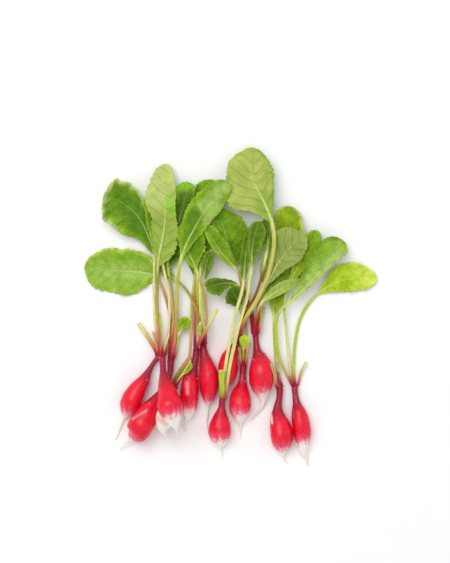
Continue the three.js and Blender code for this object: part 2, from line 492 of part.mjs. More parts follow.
// A smooth line through points, each value of which follows the distance along the line
function smoothLine(points) {
  const along = [0];
  for (let i = 1; i < points.length; i++) {
    const [p, q] = [points[i - 1], points[i]];
    along.push(along[i - 1] + Math.hypot(q.x - p.x, q.y - p.y, q.z - p.z));
  }
  const slope = (key, i) => {
    const last = points.length - 1;
    const rise = (j) => (points[j + 1][key] - points[j][key]) / (along[j + 1] - along[j]);
    if (i === 0) return rise(0);
    if (i === last) return rise(last - 1);
    const before = along[i] - along[i - 1];
    const after = along[i + 1] - along[i];
    return (rise(i - 1) * after + rise(i) * before) / (before + after);
  };
  const value = (key, s) => {
    let i = 0;
    while (i < points.length - 2 && s > along[i + 1]) i++;
    const span = along[i + 1] - along[i];
    const t = (s - along[i]) / span;
    const [a, b] = [points[i][key], points[i + 1][key]];
    const [m, n] = [slope(key, i) * span, slope(key, i + 1) * span];
    return (2 * t ** 3 - 3 * t ** 2 + 1) * a + (t ** 3 - 2 * t ** 2 + t) * m
      + (3 * t ** 2 - 2 * t ** 3) * b + (t ** 3 - t ** 2) * n;
  };
  return { along, length: along[along.length - 1], value };
}

const placed = (point) => ({
  ...point,
  x: (point.u - ORIGIN_U) * MM_PER_PIXEL,
  y: (ORIGIN_V - point.v) * MM_PER_PIXEL,
});

// Centre, sideways direction and upward direction of a line at each of its stations
function frames(line, stations) {
  const centre = (s) => new THREE.Vector3(line.value('x', s), line.value('y', s), line.value('z', s));
  let lastSide = null;
  return stations.map((s) => {
    const step = 0.3;
    const from = centre(Math.max(0, s - step));
    const to = centre(Math.min(line.length, s + step));
    const along = to.sub(from).normalize();
    let side = new THREE.Vector3(along.y, -along.x, 0);
    if (side.length() < 0.02 && lastSide) side = lastSide.clone();
    side.normalize();
    if (lastSide && side.dot(lastSide) < 0) side.negate();
    lastSide = side;
    return { s, centre: centre(s), side, up: new THREE.Vector3().crossVectors(side, along).normalize() };
  });
}

const onFrame = (frame, across, above) => frame.centre.clone()
  .addScaledVector(frame.side, across)
  .addScaledVector(frame.up, above);

// Rings of a root: round, each on an upright plane across the midline, flat where it rests
function rootRings(points) {
  const rest = Math.cos(Math.PI / ROOT_SIDES);
  const line = smoothLine(points.map(placed).map((p) => ({ ...p, z: p.z ?? (p.wide / 2) * rest })));
  const stations = line.along.flatMap((s, i) => {
    const next = line.along[i + 1];
    return next !== undefined && points[i].wide > THICK_ROOT ? [s, (s + next) / 2] : [s];
  });
  return frames(line, stations).map((frame) => {
    const radius = Math.max(0.4, line.value('wide', frame.s) / 2);
    frame.up.set(0, 0, 1);
    return Array.from({ length: ROOT_SIDES }, (_, side) => {
      const turn = Math.PI * (1 - (2 * side + 1) / ROOT_SIDES);
      const corner = onFrame(frame, radius * Math.cos(turn), radius * Math.sin(turn));
      corner.z = Math.max(0, corner.z);
      return corner;
    });
  });
}

// Rings of a leaf: an oval stalk that flattens into a toothed, cupped blade with a rib
function leafRings(leaf, crown) {
  const points = leaf.line.map(placed);
  const [base, next] = points;
  const away = new THREE.Vector3(next.x - base.x, next.y - base.y, 0).normalize();
  const slant = Math.sqrt(Math.max(0, 1 - away.dot(crown.outward) ** 2));
  const clear = CROWN_GAP + (leaf.wide / 2) * slant;
  const off = (base.x - crown.centre.x) * crown.outward.x + (base.y - crown.centre.y) * crown.outward.y;
  base.x += (clear - off) * crown.outward.x;
  base.y += (clear - off) * crown.outward.y;
  base.z += crown.centre.z;
  const line = smoothLine(points);
  const bladeFrom = line.along[leaf.line.filter((p) => p.left + p.right === 0).length - 1];
  const stalkRings = Math.max(2, Math.round(bladeFrom / STALK_RING_STEP));
  const bladeRings = leaf.teeth ? 2 * leaf.teeth : 0;
  const stalkStep = bladeFrom / stalkRings;
  const stations = stalkStep > 2 * BASE_RING ? [0, BASE_RING] : [0];
  for (let i = 1; i < stalkRings; i++) stations.push(i * stalkStep);
  const firstOfBlade = stations.length;
  for (let i = 0; i <= bladeRings; i++) {
    stations.push(bladeFrom + ((line.length - bladeFrom) * i) / Math.max(1, bladeRings));
  }
  const face = leaf.turned ? -1 : 1;
  return frames(line, stations).map((frame, ring) => {
    const share = (frame.s - bladeFrom) / (line.length - bladeFrom || 1);
    const tooth = ring > firstOfBlade && ring < stations.length - 1 ? (ring - firstOfBlade) % 2 - 0.5 : 0;
    const thin = 1 - (1 - RIB_AT_TIP) * Math.max(0, share);
    const spread = leaf.spread ? frame.s / line.length * (leaf.spread / leaf.wide - 1) : 0;
    const rib = (leaf.wide / 2) * (leaf.teeth ? thin : 1 + spread);
    return BLADE_OUTLINE.map(([part, facing], corner) => {
      const reach = Math.max(0, line.value(part < 0 ? 'left' : 'right', frame.s));
      const cut = Math.abs(part) === 1 ? tooth * Math.min(1.5, reach * 0.2) : 0;
      const width = Math.max(rib, reach + cut);
      const flat = Math.min(1, reach / FULL_BLADE);
      const turn = Math.PI * (0.9 - 0.2 * corner);
      const wave = Math.sin((2 * Math.PI * frame.s) / FRILL_LENGTH + (part < 0 ? 0 : 2));
      const rise = leaf.cup ? leaf.cup * reach * Math.abs(part) ** CUP_POWER : 0;
      const frill = leaf.frill && Math.abs(part) === 1 ? leaf.frill * wave * Math.min(1, reach / 8) : 0;
      const ribbed = part === 0 && facing !== face ? rib : 0;
      const across = THREE.MathUtils.lerp(rib * Math.cos(turn), width * part, flat);
      const above = THREE.MathUtils.lerp(
        rib * STALK_FLATNESS * Math.sin(turn),
        facing * (LEAF_THICKNESS / 2 + ribbed),
        flat,
      );
      return onFrame(frame, across, above + flat * (rise + frill));
    });
  });
}

// Triangles of the closed skin over a row of rings, split alike above and below
function skinFaces(ringCount, sides) {
  const half = sides / 2;
  const id = (ring, side) => ring * sides + (side % sides);
  const faces = [];
  for (let ring = 0; ring < ringCount - 1; ring++) {
    for (let side = 0; side < sides; side++) {
      const [a, b] = [id(ring, side), id(ring, side + 1)];
      const [d, c] = [id(ring + 1, side), id(ring + 1, side + 1)];
      if (side < half) faces.push([a, b, c], [a, c, d]);
      else faces.push([a, b, d], [b, c, d]);
    }
  }
  for (let side = 0; side < half - 1; side++) {
    const below = sides - 1 - side;
    const [a, b, c, d] = [id(0, side), id(0, side + 1), id(0, below - 1), id(0, below)];
    faces.push([a, d, c], [a, c, b]);
    const end = ringCount - 1;
    const [e, f, g, h] = [id(end, side), id(end, side + 1), id(end, below - 1), id(end, below)];
    faces.push([e, f, g], [e, g, h]);
  }
  return faces;
}

// The cells that a triangle covers in plan, each with the triangle's height there
function* cellsUnder(p, q, r) {
  const area = (q.x - p.x) * (r.y - p.y) - (q.y - p.y) * (r.x - p.x);
  if (Math.abs(area) < 1e-9) return;
  const low = (key) => Math.floor((Math.min(p[key], q[key], r[key])) / CELL);
  const high = (key) => Math.ceil((Math.max(p[key], q[key], r[key])) / CELL);
  for (let i = low('x'); i <= high('x'); i++) {
    for (let j = low('y'); j <= high('y'); j++) {
      const [x, y] = [i * CELL, j * CELL];
      const b = ((x - p.x) * (r.y - p.y) - (y - p.y) * (r.x - p.x)) / area;
      const c = ((q.x - p.x) * (y - p.y) - (q.y - p.y) * (x - p.x)) / area;
      const slack = 0.5 * CELL / Math.sqrt(Math.abs(area));
      if (b >= -slack && c >= -slack && b + c <= 1 + slack) {
        const height = p.z + b * (q.z - p.z) + c * (r.z - p.z);
        yield [i * ROW + j, THREE.MathUtils.clamp(height, Math.min(p.z, q.z, r.z), Math.max(p.z, q.z, r.z))];
      }
    }
  }
}

// Top of all that has been laid down so far, by cell, and the piece that reaches it
const pileTop = new Map();
const pileOwner = new Map();

const middleOf = (ring) => ring[0].clone().add(ring[ring.length / 2]).multiplyScalar(0.5);

// How far each ring has to rise to clear the pile: a smooth line over what each stretch needs
function liftsOverPile(rings, faces, reach, held, root) {
  const sides = rings[0].length;
  const corners = rings.flat();
  const need = rings.map(() => 0);
  for (const face of faces) {
    const [p, q, r] = face.map((i) => corners[i]);
    for (const [cell, height] of cellsUnder(p, q, r)) {
      const covered = pileTop.has(cell) && pileOwner.get(cell) !== root;
      const gap = (covered ? pileTop.get(cell) + CLEARANCE : 0) - height;
      for (const i of face) {
        const ring = Math.floor(i / sides);
        need[ring] = Math.max(need[ring], gap);
      }
    }
  }
  const centres = rings.map(middleOf);
  const along = [0];
  for (let i = 1; i < centres.length; i++) along.push(along[i - 1] + centres[i].distanceTo(centres[i - 1]));
  return along.map((s) => Math.max(...along.map((at, i) => {
    const range = held ? Math.min(reach, at + FREE_BASE) : reach;
    const far = Math.min(1, Math.abs(at - s) / range);
    return need[i] * (1 - far ** 2) ** 2;
  })));
}

// Raises the rings of a piece over the pile, and adds the piece to it. A leaf's base may stand as
// low as the crown of its own root.
function layDown(name, rings, reach, held, root) {
  const sides = rings[0].length;
  const faces = skinFaces(rings.length, sides);
  const lifts = liftsOverPile(rings, faces, reach, held, root);
  rings.forEach((ring, i) => ring.forEach((corner) => { corner.z += lifts[i]; }));
  const corners = rings.flat();
  for (const face of faces) {
    for (const [cell, height] of cellsUnder(...face.map((i) => corners[i]))) {
      if (height < (pileTop.get(cell) ?? 0)) continue;
      pileTop.set(cell, height);
      pileOwner.set(cell, name);
    }
  }
  const geometry = new THREE.BufferGeometry();
  geometry.setAttribute('position', new THREE.Float32BufferAttribute(corners.flatMap((c) => c.toArray()), 3));
  geometry.setIndex(faces.flat());
  geometry.computeVertexNormals();
  return geometry;
}

function piece(name, geometry, finish) {
  const material = new THREE.MeshStandardMaterial({ ...FINISHES[finish], metalness: 0 });
  const mesh = new THREE.Mesh(geometry, material);
  mesh.name = name;
  return mesh;
}

const bunch = new THREE.Group();
const crowns = {};
const layLeaves = (upperRoot) => {
  for (const [name, leaf] of Object.entries(LEAVES).filter(([, one]) => one.under === upperRoot)) {
    const rings = leafRings(leaf, crowns[leaf.on]);
    bunch.add(piece(name, layDown(name, rings, LEAF_REACH, true, leaf.on), leaf.finish));
  }
};
for (const [name, points] of Object.entries(ROOTS)) {
  layLeaves(name);
  const rings = rootRings(points);
  bunch.add(piece(name, layDown(name, rings, ROOT_REACH, false), 'root'));
  const [centre, inner] = [rings[0], rings[1]].map(middleOf);
  crowns[name] = { centre, outward: centre.clone().sub(inner).setZ(0).normalize() };
}
layLeaves(undefined);

export default bunch;
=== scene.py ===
# A loose bunch of long radishes with their leaves, dressed over its solid model.
# Every root, leaf and cut stalk is made again, finer, on the midline of its own solid.
import math

import bpy
import numpy as np
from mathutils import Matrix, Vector


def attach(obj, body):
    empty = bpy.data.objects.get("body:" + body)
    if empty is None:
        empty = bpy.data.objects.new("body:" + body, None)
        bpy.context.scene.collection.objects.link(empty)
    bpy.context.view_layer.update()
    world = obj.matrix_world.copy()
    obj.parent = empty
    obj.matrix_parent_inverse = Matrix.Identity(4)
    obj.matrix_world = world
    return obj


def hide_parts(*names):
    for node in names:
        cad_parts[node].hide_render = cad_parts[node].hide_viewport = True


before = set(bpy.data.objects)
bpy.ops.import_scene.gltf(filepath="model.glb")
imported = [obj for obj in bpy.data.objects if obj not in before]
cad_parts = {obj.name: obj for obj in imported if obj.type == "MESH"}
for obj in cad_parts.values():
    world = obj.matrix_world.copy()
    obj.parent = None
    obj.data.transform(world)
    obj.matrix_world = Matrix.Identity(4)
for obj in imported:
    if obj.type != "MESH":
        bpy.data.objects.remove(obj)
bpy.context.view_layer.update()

MM = 0.001

# The top view that the layout is drawn on: its scale, the pixel at the origin, its centre and height
MM_PER_PIXEL = 0.75
ORIGIN_U = 231.1
ORIGIN_V = 305.8
PHOTO_CENTRE = (225.0, 281.5)
PHOTO_HEIGHT = 563

# How the solids are made, with lengths in mm. The dressed pieces follow the same rules.
ROOT_SIDES = 12
THICK_ROOT = 8
LEAF_THICKNESS = 0.75
STALK_FLATNESS = 0.86
STALK_RING_STEP = 14
BASE_RING = 3.5
RIB_AT_TIP = 0.35
FULL_BLADE = 3.0
CUP_POWER = 1.5
FRILL_LENGTH = 17
CROWN_GAP = 1.2

# How far apart the points of a dressed piece are, and how many go round a root
ROOT_STEP = 0.7
ROUND = 48
STALK_STEP = 2.5
BLADE_STEP = 0.6
BLADE_COLUMN = 1.25
FRAME_STEP = 0.3
SAME_SPOT = 0.02

# Shapes of the dressed pieces, in mm
LOWEST_SKIN = 0.02
LOWEST_SHEET = 0.03
DOME = 1.1
TAIL = 14
THINNEST_TAIL = 0.18
COLLARS = ((1.4, 0.7, 1.0), (3.6, 0.6, 0.6))
FLAKE_HALF = 0.09
SUNK = 3.0
INTO_NECK = 1.2
TIP_ROUND = 4.5
BLADE_HALF = 0.17
PUCKER = 0.6
SCALLOP_LENGTH = 5.4
SCALLOP_DEPTH = 1.5
NICK_LENGTH = 2.1
NICK_DEPTH = 0.3
RIPPLE_LENGTH = 6.4
RIPPLE_DEPTH = 0.4

# Rootlets and bristles on a square metre of skin, and their sizes in metres
ROOTLETS = 250000
ROOTLET_LENGTH = 3.2 * MM
ROOTLET_THICKNESS = 0.06 * MM
ROOTLET_LEAN = 0.7
BRISTLES = 120000
BRISTLE_LENGTH = 0.9 * MM
BRISTLE_THICKNESS = 0.035 * MM
BRISTLE_LEAN = 0.4

# Camera, light and floor, in metres and watts
CAMERA_HEIGHT = 1.25
FILM_WIDTH = 36
KEY_PLACE = (-0.35, 0.5, 1.2)
KEY_SIZE = 1.0
KEY_POWER = 8.5
WORLD_LIGHT = 0.76
FLOOR_HALF = 3.0
FLOOR_TINTS = (0.93, 0.95)


def light(r, g, b):
    """A colour given as 0 to 255, as scene light."""
    c = np.array([r, g, b]) / 255
    return np.where(c <= 0.04045, c / 12.92, ((c + 0.055) / 1.055) ** 2.4)


def paint(colour):
    """A colour with its fourth value, as a node's socket takes it."""
    return tuple(colour) + (1,)


PAINTS = {
    "crimson": light(176, 30, 58), "pink": light(222, 112, 104), "rose": light(200, 72, 76),
    "rust": light(178, 84, 52), "orange": light(204, 132, 74), "tan": light(206, 166, 104),
    "cream": light(236, 230, 168), "cream lime": light(226, 232, 148),
    "straw": light(206, 204, 104), "lime": light(188, 208, 72),
    "olive": light(160, 166, 58), "brown": light(146, 92, 56), "grass": light(110, 166, 28),
    "bright": light(140, 198, 40), "dark": light(58, 116, 14), "sage": light(168, 198, 98),
    "rim": light(198, 214, 130), "pale end": light(216, 236, 88), "moss": light(110, 148, 2),
    "white": light(246, 240, 232),
    "blush": light(244, 150, 160), "bark": light(150, 104, 84),
}

# For each tone of a blade's side: its own colour, its margin's and that of its brighter parts
TONES = {
    "leaf": (light(100, 146, 12), light(150, 186, 34), light(126, 166, 24)),
    "deep": (light(70, 106, 10), light(122, 158, 24), light(94, 130, 14)),
    "fresh": (light(130, 178, 34), light(168, 202, 54), light(150, 190, 64)),
    "lime": (light(126, 160, 6), light(180, 204, 54), light(150, 180, 20)),
    "olive": (light(112, 142, 10), light(162, 184, 34), light(134, 160, 16)),
    "yellow": (light(158, 200, 18), light(198, 222, 48), light(180, 212, 36)),
    "sage": (light(144, 164, 76), light(162, 184, 88), light(160, 180, 94)),
    "pale": (light(168, 184, 82), light(180, 200, 84), light(184, 196, 100)),
    "back": (light(148, 176, 68), light(172, 198, 84), light(162, 188, 82)),
    "stalk": (light(200, 200, 110),) * 3,
}

# For each look of a leaf: the tones of its upper side and its underside
LOOKS = {"green": ("leaf", "back"), "dark": ("deep", "back"), "pale": ("leaf", "pale"),
         "yellow": ("yellow", "pale"), "stalk": ("stalk", "stalk")}

ROOT_DEEP = paint(light(208, 0, 38))
ROOT_BRIGHT = paint(light(240, 8, 50))
ROOT_NECK = paint(light(146, 20, 50))
ROOT_BLUSH = paint(light(244, 104, 136))
ROOT_WHITE = paint(light(246, 240, 232))
ROOT_TAIL = paint(light(232, 220, 200))

# Where each root's red skin ends, as v in pixels of the top view
WHITE_FROM = {
    "radish_01": 412, "radish_02": 437, "radish_03": 411, "radish_04": 404, "radish_05": 408,
    "radish_06": 401, "radish_07": 385, "radish_08": 438, "radish_09": 412, "radish_10": 391,
    "radish_11": 448, "radish_12": 440,
}

# The layout: u and v count pixels of a top view of the bunch. A root has its width in mm and,
# where it isn't lying flat, its height in mm. A leaf's stem has heights, and its blade also how
# far it reaches to the left and to the right of the midrib, in mm.
ROOTS = {
    "radish_01": [
        (158.5, 356.5, 4.2, 3.6), (153.5, 363, 3.4, 4), (149.2, 370.5, 4.6, 4.6), (144, 380, 9.4, 6),
        (137.5, 389.5, 13.4, 7), (132, 400, 15.4), (128.6, 408, 13.4), (126.3, 413, 8.6, 5),
        (124.5, 417, 3, 3.4), (120.5, 427, 1.6, 1.8), (115.5, 440, 0.9, 0.6),
    ],
    "radish_02": [
        (171, 360.5, 5.2, 3.2), (170.6, 370, 4.6, 2.6), (168, 381, 4.4, 2.4), (163, 391, 6.4, 3.4),
        (156, 402, 12, 6), (148.6, 412.5, 17, 8), (141.8, 424, 19.2), (136.6, 433, 15.8),
        (132.4, 436.6, 8, 5), (129, 439.4, 3, 3), (125, 443.6, 1.6, 1.6), (120, 450, 0.9, 0.6),
    ],
    "radish_04": [
        (175.6, 385, 4.6, 2.6), (173.5, 391, 4.8, 2.8), (170.6, 399, 8.4, 4), (167, 409, 12),
        (164.6, 419, 12.4), (164, 426, 9), (164.8, 430.5, 4.4, 3), (167.6, 435, 1.8, 1.4),
        (171, 441, 0.9, 0.6),
    ],
    "radish_05": [
        (196.6, 348.5, 4.6, 3.4), (195.6, 357, 4.6, 3.6), (193.4, 367, 6.4, 4.4),
        (190.8, 377, 11.4, 6), (189.6, 388, 13.8), (189.2, 400, 13.8), (189, 408.6, 11.4),
        (188.2, 415, 7.4, 4.6), (186.6, 419, 3, 3), (184.8, 425, 1.6, 1.6), (186, 432, 0.9, 0.6),
    ],
    "radish_06": [
        (203.2, 345.5, 4.6, 3.4), (204.2, 353.6, 6.6, 4), (206.4, 363, 11, 5.6),
        (208.6, 373.6, 14.4, 7), (209.2, 384.6, 14.6), (208.8, 394, 12), (208.2, 400, 7.6, 4.6),
        (208, 404.6, 2.8, 3.4), (207.6, 414, 1.6, 1.8), (206.8, 428, 0.9, 0.6),
    ],
    "radish_07": [
        (236.4, 343.5, 4.6, 4), (233.2, 349, 8, 5), (229.8, 356.4, 12.4, 6.4), (228, 366, 14.8),
        (227.2, 375.4, 13.2), (226.6, 383, 8.8, 5), (226, 388.4, 3, 3), (225.8, 395.6, 1.4, 1.2),
        (226.4, 401, 0.9, 0.6),
    ],
    "radish_09": [
        (243.4, 366.5, 5.2, 3.4), (242.6, 375, 4.8, 3.8), (242, 383.5, 7.4, 4.8),
        (240.8, 391, 13, 6.6), (240.2, 400, 16.4), (239.9, 408, 16.2), (239.9, 414.5, 12.4),
        (240, 419.5, 7, 4.4), (240.2, 424, 2.8, 2.6), (240.4, 430, 1.4, 1.2), (240.6, 438, 0.9, 0.6),
    ],
    "radish_10": [
        (255.2, 334.5, 4.6, 3.6), (256, 343, 4.4, 4), (257, 350.4, 6.4, 4.8), (259, 357.4, 12, 6.6),
        (260.4, 365.4, 16.8), (260.9, 374, 18.4), (261.3, 382.6, 17.6), (262, 389.4, 14),
        (262.8, 395, 9, 5), (263.2, 400.4, 4.2, 3.6), (261.4, 407, 2.4, 1.8), (256.6, 414, 1.5, 1),
        (250, 421, 0.9, 0.6),
    ],
    "radish_12": [
        (294.4, 387, 4.6, 3.2), (295.2, 396, 4.8, 3.6), (296.6, 403.6, 6.6, 4.4),
        (298, 410, 10.4, 5.8), (299.6, 417.4, 12.8), (301, 426, 13.6), (301.9, 435, 12.6),
        (302.4, 442, 10.4), (303, 448, 7.6, 4), (304.4, 454, 4.8, 2.6), (306.2, 460, 2.6, 1.5),
        (308.4, 466, 0.9, 0.6),
    ],
    "radish_11": [
        (279.6, 388.5, 5, 3.6), (279.2, 398, 4.6, 4), (277.6, 407, 6.6, 4.6), (277.8, 416, 11.4, 6),
        (280, 426, 15.8), (281.4, 436, 16.8), (281.8, 444.5, 13.6), (282, 450, 8, 4.8),
        (282.6, 454, 3.4, 3), (284.6, 459, 1.6, 1.4), (287.6, 464, 0.9, 0.6),
    ],
    "radish_08": [
        (222.4, 399.5, 4.8, 9), (221.8, 406, 5, 8.6), (220.8, 413.5, 9.4, 8.4),
        (220.2, 421, 14.6, 8.2), (220, 430, 17), (220.4, 438, 14.4), (220.8, 443, 8.6, 5),
        (221, 446.5, 3, 3), (221.6, 451, 1.4, 1.4), (222.4, 457, 0.9, 0.6),
    ],
    "radish_03": [
        (163, 355.5, 5.4, 3.6), (163.6, 363, 4.6, 4.2), (164.4, 371, 5.4, 5), (166, 380, 9.4, 6.4),
        (168.8, 391, 15, 8), (171, 402, 18.6), (173.4, 411, 15.8), (175.4, 418.5, 10.2, 6),
        (177.2, 424, 4.6, 4.6), (178.4, 429.5, 1.8, 2.8), (179.6, 436, 0.9, 0.8),
    ],
}

